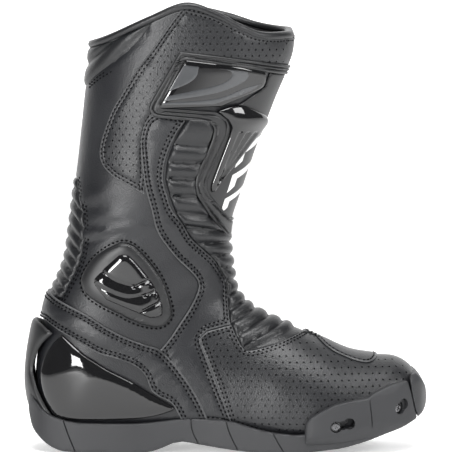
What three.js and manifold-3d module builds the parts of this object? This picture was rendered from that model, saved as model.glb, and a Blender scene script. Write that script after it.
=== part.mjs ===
// A motorcycle sport boot for the right foot, in millimetres. +X points to the toe, +Z is up,
// -Y is the outer side of the foot and +Y the side beside the machine. The origin is on the
// ground under the middle of the boot.
//
// Everything soft is a layer of one closed form, the last: a skin laid over it at a stated
// offset, then trimmed by flat sketches of each panel drawn in the side view.
import * as THREE from "three";
import { mergeVertices } from "three/addons/utils/BufferGeometryUtils.js";
import Module from "manifold-3d";

const wasm = await Module();
wasm.setup();

// ---------------------------------------------------------------- driving dimensions
const GAP = 0.3; // clearance between pieces that touch
const LEATHER = 2.2; // outer leather with its backing
const FOAM = 1.2; // foam, toe puff and heel counter, between leather and lining
const LINING = 1.2; // quilted lining
const CORE_AT = -(LEATHER + GAP); // outer face of the middle layer
const LINING_AT = CORE_AT - FOAM - GAP; // outer face of the lining
const INSIDE_AT = LINING_AT - LINING; // the face that the foot meets
const SPLIT = GAP / 2; // half of the gap at a seam between two panels

const RINGS = 22; // sections along the last, toe to collar
const AROUND = 16; // points round one section
const REACH = 120; // how far a trimming sketch runs to either side

const RIM = 4.5; // height of the collar binding
const SOLE_WALL_GAP = GAP; // between the cup sole and the upper

// The last, as sections from toe to collar. Each has its heel-side end, its instep-side end,
// its half width to the outside and to the inside, the offset of its middle towards the
// machine, where along the section it is widest (-1 heel side, 1 instep side), and how square
// its heel side and its instep side are (2 is an ellipse).
const SECTIONS = [
  { heel: [146.5, 30], instep: [149, 53], out: 23, in: 21, mid: 8, widest: -0.2, square: [3, 2.4] },
  { heel: [140, 25.5], instep: [143, 63.5], out: 34, in: 30, mid: 7, widest: -0.4, square: [4, 2.4] },
  { heel: [128, 20.5], instep: [131, 70.5], out: 41, in: 36, mid: 6, widest: -0.45, square: [4, 2.3] },
  { heel: [110, 14.5], instep: [114, 72], out: 46, in: 41, mid: 4, widest: -0.45, square: [4, 2.2] },
  { heel: [88, 10.5], instep: [95, 75.5], out: 49.5, in: 44.5, mid: 2, widest: -0.45, square: [4, 2.1] },
  { heel: [62, 9.5], instep: [77, 83.5], out: 50, in: 45.5, mid: 0.5, widest: -0.4, square: [4, 2] },
  { heel: [35, 10], instep: [60, 91], out: 48, in: 43, mid: 0, widest: -0.35, square: [4, 2] },
  { heel: [8, 13], instep: [45, 97], out: 44.5, in: 39, mid: 0, widest: -0.3, square: [4, 2] },
  { heel: [-20, 16], instep: [32, 103], out: 42, in: 37.5, mid: 0, widest: -0.25, square: [5, 2] },
  { heel: [-50, 17], instep: [21, 109], out: 41, in: 38, mid: 0, widest: -0.2, square: [6, 2.1] },
  { heel: [-82, 16], instep: [13, 116], out: 41, in: 39, mid: 0, widest: -0.2, square: [6, 2.1] },
  { heel: [-112, 16], instep: [8, 123], out: 41.5, in: 40, mid: 0, widest: -0.2, square: [5, 2.1] },
  { heel: [-134, 19], instep: [6, 130], out: 42, in: 41, mid: 0, widest: -0.15, square: [3.6, 2.1] },
  { heel: [-144, 32], instep: [5, 137], out: 42.5, in: 41.5, mid: 0, widest: -0.1, square: [2.8, 2.1] },
  { heel: [-148, 50], instep: [4, 144], out: 43, in: 42, mid: 0, widest: -0.1, square: [2.5, 2.1] },
  { heel: [-147, 72], instep: [3, 151], out: 43.5, in: 42.5, mid: 0, widest: -0.05, square: [2.4, 2.1] },
  { heel: [-143, 95], instep: [2.5, 158], out: 44, in: 43, mid: 0, widest: -0.05, square: [2.3, 2.1] },
  { heel: [-138.5, 116], instep: [2, 165], out: 44.5, in: 44, mid: 0, widest: -0.05, square: [2.2, 2.1] },
  { heel: [-130.5, 133], instep: [3, 174], out: 45.5, in: 45, mid: 0, widest: -0.05, square: [2.2, 2.1] },
  { heel: [-124.5, 150], instep: [5.5, 184], out: 47, in: 46.5, mid: 0, widest: -0.05, square: [2.2, 2.1] },
  { heel: [-121.5, 170], instep: [10, 197], out: 49, in: 48.5, mid: 0, widest: -0.05, square: [2.2, 2.1] },
  { heel: [-118.5, 194], instep: [15.5, 213], out: 51, in: 50.5, mid: 0, widest: -0.05, square: [2.2, 2.1] },
  { heel: [-115.5, 219], instep: [21.5, 231], out: 52.5, in: 52, mid: 0, widest: -0.05, square: [2.2, 2.1] },
  { heel: [-113, 245], instep: [29.5, 251], out: 54, in: 53.5, mid: 0, widest: -0.05, square: [2.2, 2.1] },
  { heel: [-110.5, 270], instep: [38, 273], out: 55, in: 54.5, mid: 0, widest: -0.05, square: [2.2, 2.1] },
  { heel: [-107.5, 293], instep: [46.5, 293], out: 55.5, in: 55, mid: 0, widest: -0.05, square: [2.2, 2.1] },
  { heel: [-105, 314], instep: [52.5, 311], out: 56, in: 55.5, mid: 0, widest: -0.05, square: [2.2, 2.1] },
  { heel: [-103, 352], instep: [56, 352], out: 56.5, in: 56, mid: 0, widest: -0.05, square: [2.2, 2.1] },
];

// ---------------------------------------------------------------- solids
// A closed three.js geometry as a manifold-3d solid.
function solid(geometry) {
  geometry.deleteAttribute("normal");
  geometry.deleteAttribute("uv");
  const merged = mergeVertices(geometry, 1e-4);
  return new wasm.Manifold(
    new wasm.Mesh({
      numProp: 3,
      vertProperties: merged.attributes.position.array,
      triVerts: new Uint32Array(merged.index.array),
    }),
  );
}

// A manifold-3d solid as a three.js geometry.
function geometryOf(body) {
  const mesh = body.getMesh();
  const points = new Float32Array(mesh.numVert * 3);
  for (let i = 0; i < mesh.numVert; i++)
    points.set(mesh.vertProperties.subarray(i * mesh.numProp, i * mesh.numProp + 3), i * 3);
  const geometry = new THREE.BufferGeometry();
  geometry.setAttribute("position", new THREE.BufferAttribute(points, 3));
  geometry.setIndex(new THREE.BufferAttribute(mesh.triVerts, 1));
  geometry.computeVertexNormals();
  return geometry;
}

// The largest of a solid's separate bodies, which drops the crumbs that a trim can leave.
function mainBody(body) {
  return body.decompose().sort((a, b) => b.volume() - a.volume())[0];
}

// Draws a closed outline. A point is reached by a straight edge, a list of points by one
// smooth curve through all of them.
function sketch(start, ...steps) {
  const shape = new THREE.Shape().moveTo(...start);
  for (const step of steps)
    if (typeof step[0] === "number") shape.lineTo(...step);
    else shape.splineThru(step.map((point) => new THREE.Vector2(...point)));
  return shape;
}

// A side-view sketch, in X and Z, carried across the boot from one Y to another.
function sideCut(shape, yFrom = -REACH, yTo = REACH) {
  const geometry = new THREE.ExtrudeGeometry(shape, {
    depth: yTo - yFrom,
    bevelEnabled: false,
    curveSegments: 1,
  });
  geometry.rotateX(Math.PI / 2);
  geometry.translate(0, yTo, 0);
  return solid(geometry);
}
const outerSide = (shape) => sideCut(shape, -REACH, -SPLIT);
const innerSide = (shape) => sideCut(shape, SPLIT, REACH);

// A plan-view sketch, in X and Y, carried up from one Z to another.
function planCut(shape, zFrom, zTo) {
  const geometry = new THREE.ExtrudeGeometry(shape, {
    depth: zTo - zFrom,
    bevelEnabled: false,
    curveSegments: 1,
  });
  geometry.translate(0, 0, zFrom);
  return solid(geometry);
}

// ---------------------------------------------------------------- the last
// A number that runs smoothly through four values, at share t of the way between b and c.
function smooth(a, b, c, d, t) {
  return b + 0.5 * t * (c - a + t * (2 * a - 5 * b + 4 * c - d + t * (3 * (b - c) + d - a)));
}

// The section at place s, from 0 at the toe to the number of the last section.
function sectionAt(s) {
  const last = SECTIONS.length - 1;
  const i = Math.min(Math.floor(s), last - 1);
  const four = [i - 1, i, i + 1, i + 2].map((k) => SECTIONS[THREE.MathUtils.clamp(k, 0, last)]);
  const mix = (read) => smooth(...four.map(read), s - i);
  return {
    heel: new THREE.Vector2(mix((q) => q.heel[0]), mix((q) => q.heel[1])),
    instep: new THREE.Vector2(mix((q) => q.instep[0]), mix((q) => q.instep[1])),
    out: mix((q) => q.out),
    in: mix((q) => q.in),
    mid: mix((q) => q.mid),
    widest: mix((q) => q.widest),
    squareHeel: mix((q) => q.square[0]),
    squareInstep: mix((q) => q.square[1]),
    toe: Math.max(0, 1 - s), // 1 at the closed toe end
  };
}

// A point on a section, an offset outwards from the skin. Angle 0 is the instep, a quarter
// turn the inner side, a half turn the heel and three quarters the outer side.
function skinPoint(section, angle, offset) {
  const c = Math.cos(angle);
  const s = Math.sin(angle);
  const power = 2 / (c >= 0 ? section.squareInstep : section.squareHeel);
  const along = Math.abs(c) ** power;
  const across = Math.abs(s) ** power;
  const u =
    c >= 0
      ? section.widest + (1 - section.widest) * along
      : section.widest - (1 + section.widest) * along;
  const direction = section.instep.clone().sub(section.heel).normalize();
  const heel = section.heel.clone().addScaledVector(direction, -offset);
  const instep = section.instep.clone().addScaledVector(direction, offset);
  const place = heel.lerp(instep, (u + 1) / 2);
  const half = s >= 0 ? section.in + offset : -(section.out + offset);
  return [place.x + section.toe * offset, section.mid + half * across, place.y];
}

// The last grown by an offset, as one closed solid.
function last(offset) {
  const points = [];
  const faces = [];
  for (let i = 0; i <= RINGS; i++) {
    const section = sectionAt((i / RINGS) * (SECTIONS.length - 1));
    for (let j = 0; j < AROUND; j++)
      points.push(skinPoint(section, (2 * Math.PI * j) / AROUND, offset));
  }
  for (let i = 0; i < RINGS; i++)
    for (let j = 0; j < AROUND; j++) {
      const next = (j + 1) % AROUND;
      const [a, b] = [i * AROUND + j, i * AROUND + next];
      faces.push([a, b, b + AROUND], [a, b + AROUND, a + AROUND]);
    }
  for (const ring of [0, RINGS]) {
    const edge = points.slice(ring * AROUND, (ring + 1) * AROUND);
    const centre = [0, 1, 2].map((k) => edge.reduce((sum, p) => sum + p[k], 0) / AROUND);
    points.push(centre);
    for (let j = 0; j < AROUND; j++) {
      const pair = [ring * AROUND + j, ring * AROUND + ((j + 1) % AROUND)];
      if (ring === 0) pair.reverse();
      faces.push([...pair, points.length - 1]);
    }
  }
  const geometry = new THREE.BufferGeometry();
  geometry.setAttribute("position", new THREE.Float32BufferAttribute(points.flat(), 3));
  geometry.setIndex(faces.flat());
  return solid(geometry);
}

// A skin of the last between two offsets.
const grown = new Map();
function lastAt(offset) {
  if (!grown.has(offset)) grown.set(offset, last(offset));
  return grown.get(offset);
}
const skin = (outerFace, innerFace) => lastAt(outerFace).subtract(lastAt(innerFace));

// Half width of the grown last at a point of the side view, on the inner or the outer side.
function halfWidth(x, z, side, offset = 0) {
  let [low, high] = [0, SECTIONS.length - 1];
  const ahead = (s) => {
    const { heel, instep } = sectionAt(s);
    return (instep.x - heel.x) * (z - heel.y) - (instep.y - heel.y) * (x - heel.x) > 0;
  };
  for (let i = 0; i < 30; i++) {
    const middle = (low + high) / 2;
    if (ahead(middle)) low = middle;
    else high = middle;
  }
  const section = sectionAt(low);
  const span = section.instep.clone().sub(section.heel);
  const u = (2 * new THREE.Vector2(x, z).sub(section.heel).dot(span)) / span.lengthSq() - 1;
  const past = u - section.widest;
  const along = past / (past >= 0 ? 1 - section.widest : -(1 + section.widest));
  const square = past >= 0 ? section.squareInstep : section.squareHeel;
  const across = Math.max(0, 1 - along ** square) ** (1 / square);
  return section.mid + (side > 0 ? section.in + offset : -(section.out + offset)) * across;
}

// ---------------------------------------------------------------- trimming lines
// Each line runs heel to toe across the side view.
const BOARD_TOP = [
  [-170, 25],
  [-140, 22.5],
  [-112, 18.6],
  [-50, 19.3],
  [-20, 18.4],
  [8, 15.6],
  [35, 12.7],
  [62, 12.3],
  [88, 13.4],
  [110, 17.4],
  [128, 23.5],
  [140, 28.6],
  [170, 43],
];
const FOOTBED_TOP = [
  [-170, 28],
  [-134, 25.5],
  [-110, 24],
  [-50, 24.5],
  [-20, 23.5],
  [8, 21],
  [35, 18],
  [62, 18],
  [88, 19.5],
  [110, 23.5],
  [128, 29.5],
  [140, 35],
  [170, 50],
];
// The stiff foot ends here, and the bellows and soft ankle panels begin.
const FOOT_TOP = [
  [-170, 109],
  [-60, 96],
  [5, 97.7],
  [9, 87.5],
  [14, 79.5],
  [20, 77.5],
  [38, 82],
  [60, 90.5],
  [110, 112],
  [170, 135],
];
// The soft ankle ends here, and the stiff shaft begins.
const SHAFT_BOTTOM = [
  [-170, 176],
  [-20, 172],
  [0, 177],
  [70, 193],
];
const COLLAR_OUT = [
  [-125, 311],
  [-95, 318],
  [-60, 333],
  [-31, 344],
  [-8, 338],
  [12, 328],
  [32, 321.5],
  [70, 324.5],
];
const COLLAR_IN = [
  [-125, 311],
  [-95, 317],
  [-60, 331],
  [-30, 341.5],
  [0, 337],
  [25, 329.5],
  [45, 326],
  [70, 324.5],
];

const FLOOR = -20;
const SKY = 400;
const raised = (line, height) => line.map(([x, z]) => [x, z + height]);
const lineTo = (line, z) => sketch([line[0][0], z], line[0], line.slice(1), [line.at(-1)[0], z]);
const belowLine = (line) => lineTo(line, FLOOR);
const aboveLine = (line) => lineTo(line, SKY);
const below = (line) => sideCut(belowLine(line));
const above = (line) => sideCut(aboveLine(line));

const underCollar = (drop) =>
  sideCut(belowLine(raised(COLLAR_OUT, -drop)), -REACH, 0).add(
    sideCut(belowLine(raised(COLLAR_IN, -drop)), 0, REACH),
  );

const footPart = below(FOOT_TOP);
const anklePart = above(raised(FOOT_TOP, GAP)).intersect(below(raised(SHAFT_BOTTOM, -GAP)));
const shaftPart = above(SHAFT_BOTTOM).intersect(underCollar(RIM + GAP));

// ---------------------------------------------------------------- the scene graph
const boot = new THREE.Group();

const FINISHES = {
  leather: { color: 0x2b2d30, roughness: 0.5 },
  stretch: { color: 0x26282a, roughness: 0.75 },
  gloss: { color: 0x1a1c1e, roughness: 0.12 },
  matte: { color: 0x2f3235, roughness: 0.55 },
  rubber: { color: 0x34373a, roughness: 0.8 },
  textile: { color: 0x1f2123, roughness: 0.95 },
  board: { color: 0x7a6a52, roughness: 0.9 },
  steel: { color: 0x8d9094, roughness: 0.3, metalness: 1 },
};

function addPiece(name, body, finish, parent = boot) {
  const material = new THREE.MeshStandardMaterial({ metalness: 0, ...FINISHES[finish] });
  const mesh = new THREE.Mesh(geometryOf(mainBody(body)), material);
  mesh.name = name;
  parent.add(mesh);
  return mesh;
}

// A copy of a solid taken away at rest and again moved by each shift, so a gap is left.
function clearOf(body, other, ...shifts) {
  let result = body.subtract(other);
  for (const shift of shifts) result = result.subtract(other.translate(shift));
  return result;
}

// ---------------------------------------------------------------- outsole
const SOLE_UNDER = [
  [-152.3, 31],
  [-149.2, 18.6],
  [-144.5, 12.4],
  [-137.6, 6.2],
  [-127, 1.2],
  [-116, 0],
];
const soleSide = (topLine) =>
  sketch(
    SOLE_UNDER[0],
    SOLE_UNDER.slice(1),
    [-62, 0],
    [
      [-48, 4],
      [-33, 8.2],
      [-5, 4],
      [25, 0],
    ],
    [52, 0],
    [
      [77, 2.8],
      [109, 9.8],
      [134.9, 18.8],
      [147.6, 25.3],
    ],
    ...topLine,
    [-155, 52.7],
    [-155.4, 46],
  );
const SOLE_TOP_REAR = [
  [36, 16.3],
  [20, 19.9],
  [4.6, 24.6],
  [-27, 26.6],
  [-64, 23],
  [-115, 23.4],
  [-135.5, 29],
  [-143.5, 35.6],
  [-151, 52.7],
];
const soleOuterTop = [[147.4, 30], [141, 40], [100, 30], [68, 26], [60, 15], [48, 15.1], SOLE_TOP_REAR];
const soleInnerTop = [[147.4, 30], [130, 24], [100, 18], [60, 14.7], [48, 15.1], SOLE_TOP_REAR];
const solePlan = sketch(
  [-155.5, 0],
  [
    [-152, -17],
    [-141, -33],
    [-118, -41],
    [-85, -43.5],
    [-50, -43],
    [-20, -44],
    [10, -47.5],
    [40, -50.5],
    [62, -51.5],
    [90, -51.5],
    [112, -47.5],
    [130, -39],
    [143, -28],
    [149, -16],
    [151.5, 5],
    [149.5, 22],
    [145.5, 33],
    [137, 42],
    [122, 47.5],
    [100, 50],
    [75, 50.5],
    [45, 47.5],
    [10, 42.5],
    [-20, 40],
    [-50, 40.5],
    [-85, 42],
    [-118, 40.5],
    [-141, 32],
    [-152, 17],
    [-155.5, 0],
  ],
);
const soleBlock = sideCut(soleSide(soleOuterTop), -REACH, 0)
  .add(sideCut(soleSide(soleInnerTop), 0, REACH))
  .intersect(planCut(solePlan, FLOOR, 60))
  .subtract(lastAt(SOLE_WALL_GAP));

// ---------------------------------------------------------------- toe slider and its screws
// The slider is a hard rubber wall, screwed to the outer side of the sole through two slots.
const sliderSide = sketch(
  [62, 1.5],
  [
    [61, 9],
    [60.5, 19],
    [61.6, 24.8],
    [64.2, 27.9],
    [73.8, 33.6],
    [83.5, 38.1],
    [96.3, 41.1],
    [109, 43.2],
  ],
  [
    [112, 45.8],
    [118.8, 49.1],
    [128.4, 52.9],
    [139.9, 54.5],
  ],
  [142.8, 45.2],
  [145.4, 33.6],
  [147.4, 27],
  [147.4, 25.2],
  [134.9, 18.8],
  [109, 9.8],
  [77, 2.8],
);
const sliderPlan = sketch(
  [60, -30],
  [60, -53],
  [
    [66, -57],
    [90, -56.5],
    [112, -52.5],
    [130, -44.5],
    [142, -35],
    [150, -24],
  ],
  [150, -8],
);
const SLOT = { radius: 4, depth: 2.5 };
const SCREW = { head: 3.4, headHeight: 1.6, shank: 2, length: 7, insert: 3.6, insertLength: 3 };
// Where each screw goes in, the way it faces in plan, and the second lobe of its slot.
const SCREWS = {
  rear: { x: 84.4, z: 21.4, lobe: [10.2, 2.6], facing: 0.08, skinY: -56.6 },
  front: { x: 133.8, z: 34.2, lobe: [4.6, 3.2], facing: 0.66, skinY: -41.9 },
};

// A cylinder along the local outward direction -Y, from one depth below the face to another.
function peg(radius, from, to, sides = 20) {
  const geometry = new THREE.CylinderGeometry(radius, radius, to - from, sides);
  geometry.translate(0, -(from + to) / 2, 0);
  return solid(geometry);
}
function slotCut(lobe, radius, from, to) {
  const [dx, dz] = lobe;
  return peg(radius, from, to)
    .add(peg(radius, from, to).translate([dx, 0, dz]))
    .add(peg(radius * 0.72, from, to).translate([dx / 2, 0, dz / 2]));
}
const atScrew = (body, { x, z, facing, skinY }) =>
  body.rotate([0, 0, THREE.MathUtils.radToDeg(facing)]).translate([x, skinY, z]);

let sole = soleBlock;
let slider = clearOf(
  sideCut(sliderSide).intersect(planCut(sliderPlan, FLOOR, 80)).subtract(lastAt(GAP)),
  soleBlock,
  [0, -GAP, 0],
  [0, 0, GAP],
  [GAP, -GAP, 0],
);
for (const [place, screw] of Object.entries(SCREWS)) {
  const { head, headHeight, shank, length, insert, insertLength } = SCREW;
  slider = slider.subtract(atScrew(slotCut(screw.lobe, SLOT.radius, -SLOT.depth, 10), screw));
  slider = slider.subtract(atScrew(peg(shank + GAP, -20, 10), screw));
  const pocket = atScrew(peg(insert + GAP, -length - 1, -length + insertLength + GAP), screw);
  slider = slider.subtract(pocket);
  sole = sole.subtract(atScrew(peg(insert + GAP, -length - 1, -SLOT.depth), screw));
  const seat = -SLOT.depth + GAP;
  const bolt = peg(head, seat, seat + headHeight).add(peg(shank, -length, seat));
  addPiece(`slider_screw_${place}`, atScrew(bolt, screw), "steel");
  const sleeve = peg(insert, -length, -length + insertLength).subtract(
    peg(shank + GAP, -length - 1, 0),
  );
  addPiece(`screw_insert_${place}`, atScrew(sleeve, screw), "steel");
}
addPiece("outsole", sole, "rubber");
addPiece("toe_slider", slider, "rubber");

const bumperSide = sketch(
  [141.6, 56.5],
  [
    [143, 59.3],
    [146.4, 60],
    [151.5, 54.8],
    [155, 47.7],
    [156.1, 38.8],
    [154.8, 32.9],
    [151, 27.9],
    [148, 26],
  ],
  [147.8, 27.5],
  [145.8, 33.8],
  [143.3, 45.3],
);
const bumperPlan = sketch(
  [136, -38],
  [
    [143, -34],
    [151, -23],
    [155, -8],
    [156.2, 5],
    [155, 20],
    [150, 32],
    [143, 41],
    [136, 46],
  ],
);
addPiece(
  "toe_bumper",
  clearOf(
    sideCut(bumperSide).intersect(planCut(bumperPlan, FLOOR, 80)).subtract(lastAt(GAP)),
    soleBlock,
    [GAP, 0, 0],
    [0, 0, GAP],
  ),
  "rubber",
);

// ---------------------------------------------------------------- under the foot
const leather = skin(0, -LEATHER);
const middle = skin(CORE_AT, CORE_AT - FOAM);
const lining = skin(LINING_AT, INSIDE_AT);
const BOARD_EDGE = 1.3; // how much higher the foam's edge stands than the board's
const SHANK = { from: -100, to: 20, half: 9 };

const boardZone = below(BOARD_TOP);
const foamZone = below(raised(BOARD_TOP, BOARD_EDGE));
const upperZone = above(raised(BOARD_TOP, GAP));
const stiffenerZone = above(raised(BOARD_TOP, BOARD_EDGE + GAP));
const shankZone = (grow) => {
  const box = new THREE.BoxGeometry(SHANK.to - SHANK.from + 2 * grow, 2 * (SHANK.half + grow), 80);
  return solid(box).translate([(SHANK.from + SHANK.to) / 2, 0, 0]);
};

addPiece("insole_board", leather.intersect(boardZone), "board");
const foamBase = middle.intersect(foamZone);
addPiece("shank", foamBase.intersect(shankZone(0)), "steel");
addPiece("insole_foam", foamBase.subtract(shankZone(GAP)), "textile");
addPiece("foot_lining", lining.intersect(footPart), "textile");
addPiece("footbed", lastAt(INSIDE_AT - GAP).intersect(below(FOOTBED_TOP)), "textile");

// ---------------------------------------------------------------- the stiff foot
const vampOutline = sketch(
  [8, 5],
  [5, 27],
  [
    [-8.1, 56.6],
    [-17.4, 79.8],
    [-19, 88.5],
    [-13, 93],
    [5, 97.7],
  ],
  [9, 110],
  [170, 110],
  [170, 5],
);
const vampZone = sideCut(vampOutline);
const footLeather = leather.intersect(footPart).intersect(upperZone);
const quarters = clearOf(footLeather, vampZone, [-GAP, 0, 0], [0, 0, -GAP]);
addPiece("vamp", footLeather.intersect(vampZone), "leather");
addPiece("quarter_outer", quarters.intersect(outerSide(belowLine(FOOT_TOP))), "leather");
addPiece("quarter_inner", quarters.intersect(innerSide(belowLine(FOOT_TOP))), "leather");

const toePuffSide = sketch([98, 5], [104, 40], [112, 90], [170, 90], [170, 5]);
addPiece("toe_puff", middle.intersect(stiffenerZone).intersect(sideCut(toePuffSide)), "board");
const counterSide = sketch([-170, 5], [-56, 5], [-70, 50], [-100, 88], [-170, 100]);
addPiece("heel_counter", middle.intersect(stiffenerZone).intersect(sideCut(counterSide)), "board");

// ---------------------------------------------------------------- heel guards and strap
const strapSide = sketch(
  [-165, 126],
  [-140.7, 125],
  [
    [-119, 112.5],
    [-90.6, 96.3],
    [-61.2, 83.2],
    [-51.5, 79.9],
    [-42.8, 72.3],
    [-32, 59.3],
    [-13.4, 27],
  ],
  [-34.1, 27.7],
  [
    [-50.4, 43],
    [-57, 48.4],
    [-61.2, 59.3],
    [-69, 66.9],
    [-97, 76.7],
    [-123.2, 92],
    [-144.5, 106.2],
  ],
  [-165, 113],
);
const cupSide = sketch(
  [-127, 90],
  [
    [-108, 75.6],
    [-90.6, 64.7],
    [-58, 46.2],
    [-41, 34.5],
    [-53.6, 29.4],
    [-71, 27.6],
    [-102.7, 27],
    [-129.5, 29],
    [-136.3, 39.7],
    [-140, 62.5],
    [-137.4, 73.4],
    [-127, 90],
  ],
);
const spineSide = sketch(
  [-149, 104],
  [
    [-140, 99],
    [-131.5, 90.8],
    [-139.8, 81],
    [-144.5, 66],
    [-143.5, 50],
    [-136.5, 34],
  ],
  [-143, 38],
  [-150, 54],
  [-155.2, 54],
  [
    [-154.5, 68],
    [-152.5, 82],
    [-149, 99],
  ],
);
const overSole = [0, 0, GAP];
addPiece("heel_strap", clearOf(skin(1.8, GAP).intersect(sideCut(strapSide)), soleBlock, overSole), "matte");
const cups = clearOf(
  clearOf(skin(3.5, GAP).intersect(sideCut(cupSide)), soleBlock, overSole),
  sideCut(strapSide),
  [0, 0, -GAP],
);
addPiece("heel_cup_outer", cups.intersect(outerSide(belowLine(FOOT_TOP))), "gloss");
addPiece("heel_cup_inner", cups.intersect(innerSide(belowLine(FOOT_TOP))), "gloss");
const SPINE_PROUD = 8;
addPiece(
  "heel_spine",
  clearOf(skin(SPINE_PROUD, GAP).intersect(sideCut(spineSide)), soleBlock, overSole),
  "matte",
);

// ---------------------------------------------------------------- shift pad over the toes
const padSide = sketch(
  [68, 100],
  [68.4, 87.6],
  [
    [88, 74.1],
    [96.3, 69.6],
    [112.4, 67.5],
    [121, 69.6],
  ],
  [122, 90],
);
addPiece("shift_pad", skin(2, GAP).intersect(sideCut(padSide)), "rubber");

// ---------------------------------------------------------------- the soft ankle
const bellowsRear = [
  [-36, 180],
  [-26.4, 164.8],
  [-9, 147.3],
  [-2.6, 136.5],
  [0.2, 130],
  [1.8, 115.8],
  [4, 97],
  [6, 70],
];
const bellowsZone = sideCut(sketch(bellowsRear[0], bellowsRear.slice(1), [90, 70], [90, 200], [-36, 200]));
const achillesFront = [
  [-119, 216],
  [-113.8, 199.4],
  [-110.4, 188],
  [-109, 169],
  [-110.2, 155],
  [-114.5, 141.8],
  [-121, 128.9],
  [-128, 119],
  [-131, 105],
];
const achillesZone = sideCut(sketch(achillesFront[0], achillesFront.slice(1), [-165, 105], [-165, 216]));
const rearPart = above(raised(FOOT_TOP, GAP)).intersect(achillesZone);
const ankleLeather = leather.intersect(anklePart);
const anklePanels = clearOf(
  clearOf(ankleLeather, bellowsZone, [-GAP, 0, 0]),
  achillesZone,
  [GAP, 0, 0],
);
const everywhere = belowLine(raised(SHAFT_BOTTOM, 200));
addPiece("instep_bellows", ankleLeather.intersect(bellowsZone), "stretch");
addPiece("achilles_bellows", leather.intersect(rearPart), "stretch");
addPiece("ankle_panel_outer", anklePanels.intersect(outerSide(everywhere)), "leather");
addPiece("ankle_panel_inner", anklePanels.intersect(innerSide(everywhere)), "leather");
addPiece("ankle_lining", lining.intersect(anklePart), "textile");

// ---------------------------------------------------------------- ankle guards
const GUARD_FACE = 4;
const guardSide = sketch(
  [-80.8, 161],
  [
    [-92.8, 156],
    [-102.7, 147.3],
    [-109.7, 136.4],
    [-110.2, 130],
    [-105.8, 121.2],
    [-95, 113.6],
    [-68.9, 100.6],
    [-55.8, 97],
    [-47.1, 98],
    [-41.7, 103.9],
    [-41.2, 111.4],
    [-46.1, 127.9],
    [-53.6, 141.9],
    [-64.6, 155],
    [-73.2, 160.5],
    [-80.8, 161],
  ],
);
const guardInsertSide = sketch(
  [-80.8, 152.8],
  [
    [-91, 144],
    [-99.3, 133.3],
    [-99.3, 128.9],
    [-90.6, 118],
    [-75.4, 111.4],
    [-58, 103.9],
    [-49.3, 106],
    [-50.4, 120],
    [-58, 134.3],
    [-68.9, 148.4],
    [-80.8, 152.8],
  ],
);
const guardSkin = clearOf(skin(GUARD_FACE, GAP), sideCut(strapSide), [0, 0, GAP]);
addPiece("ankle_guard_outer", guardSkin.intersect(outerSide(guardSide)), "matte");
addPiece("ankle_guard_inner", guardSkin.intersect(innerSide(guardSide)), "matte");
const insertSkin = skin(GUARD_FACE + 1.8, GUARD_FACE + GAP);
addPiece("ankle_cap_outer", insertSkin.intersect(outerSide(guardInsertSide)), "gloss");
addPiece("ankle_cap_inner", insertSkin.intersect(innerSide(guardInsertSide)), "gloss");

// ---------------------------------------------------------------- the zip on the inner side
const ZIP = {
  foot: new THREE.Vector2(-42, 181),
  head: new THREE.Vector2(-52, 268),
  tape: 14, // half width over both tapes
  window: 5.2, // half width of the opening in the leather
  teeth: 3, // half width of the closed teeth
  teethFace: -0.8, // outer face of the teeth, from the leather's face
};
const zipLength = ZIP.foot.distanceTo(ZIP.head);
const zipUp = ZIP.head.clone().sub(ZIP.foot).normalize();
const zipAcross = new THREE.Vector2(zipUp.y, -zipUp.x); // towards the toe

// A straight strip beside the zip's middle line, from one place along it to another.
function zipStrip(left, right, from = 0, to = zipLength) {
  const corner = (across, along) =>
    ZIP.foot.clone().addScaledVector(zipAcross, across).addScaledVector(zipUp, along).toArray();
  return sketch(corner(left, from), corner(right, from), corner(right, to), corner(left, to));
}
const wholeZip = (half, grow) => sideCut(zipStrip(-half, half, -grow, zipLength + grow), SPLIT, REACH);
const frontOfZip = sideCut(zipStrip(SPLIT, 250, -100, 250), SPLIT, REACH);
const rearOfZip = sideCut(zipStrip(-250, -SPLIT, -100, 250), SPLIT, REACH);
const TAPE_END = 5;

const tapes = middle.intersect(wholeZip(ZIP.tape, TAPE_END));
addPiece("zip_tape_front", tapes.intersect(frontOfZip), "textile");
addPiece("zip_tape_rear", tapes.intersect(rearOfZip), "textile");
addPiece(
  "zip_teeth",
  skin(ZIP.teethFace, -LEATHER).intersect(sideCut(zipStrip(-ZIP.teeth, ZIP.teeth), SPLIT, REACH)),
  "matte",
);
const STOP = 2.5;
addPiece(
  "zip_stop",
  skin(ZIP.teethFace, -LEATHER).intersect(
    sideCut(zipStrip(-ZIP.teeth - 1, ZIP.teeth + 1, -STOP - GAP, -GAP), SPLIT, REACH),
  ),
  "steel",
);

// ---------------------------------------------------------------- the shaft
const shaftLeather = clearOf(leather.intersect(shaftPart), achillesZone, [GAP, 0, 0]);
const calfRear = [
  [-33.7, 341],
  [-45.6, 324.5],
  [-57, 307.5],
  [-79.7, 274.4],
  [-86.5, 263],
  [-95.6, 236.9],
  [-96.2, 227.9],
  [-85.4, 211.9],
  [-66, 201],
];
const calfOutline = sketch(
  [-30, 355],
  calfRear,
  [
    [-66, 233.5],
    [-63.8, 249.4],
    [-58, 267.6],
    [-33, 307.5],
  ],
  [11.2, 300.7],
  [70, 303.5],
  [70, 355],
);
const gussetLine = [
  [-50, 346],
  [-54.6, 332.5],
  [-59.3, 324.5],
  [-79.7, 303],
  [-100, 289],
  [-125, 271],
];
const gussetZone = sideCut(sketch(gussetLine[0], gussetLine.slice(1), [-140, 355], [-50, 355]));
const sideOutline = sketch(
  [-58, 267.6],
  [
    [-64.5, 241.8],
    [-65.5, 216.5],
    [-61.5, 206.3],
    [-54, 165],
  ],
  [-33, 165],
  [
    [-43, 190],
    [-47.3, 209.3],
    [-43.8, 231.2],
    [-30.7, 256],
  ],
  [-29, 262.6],
  [-57, 262.6],
);
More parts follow.
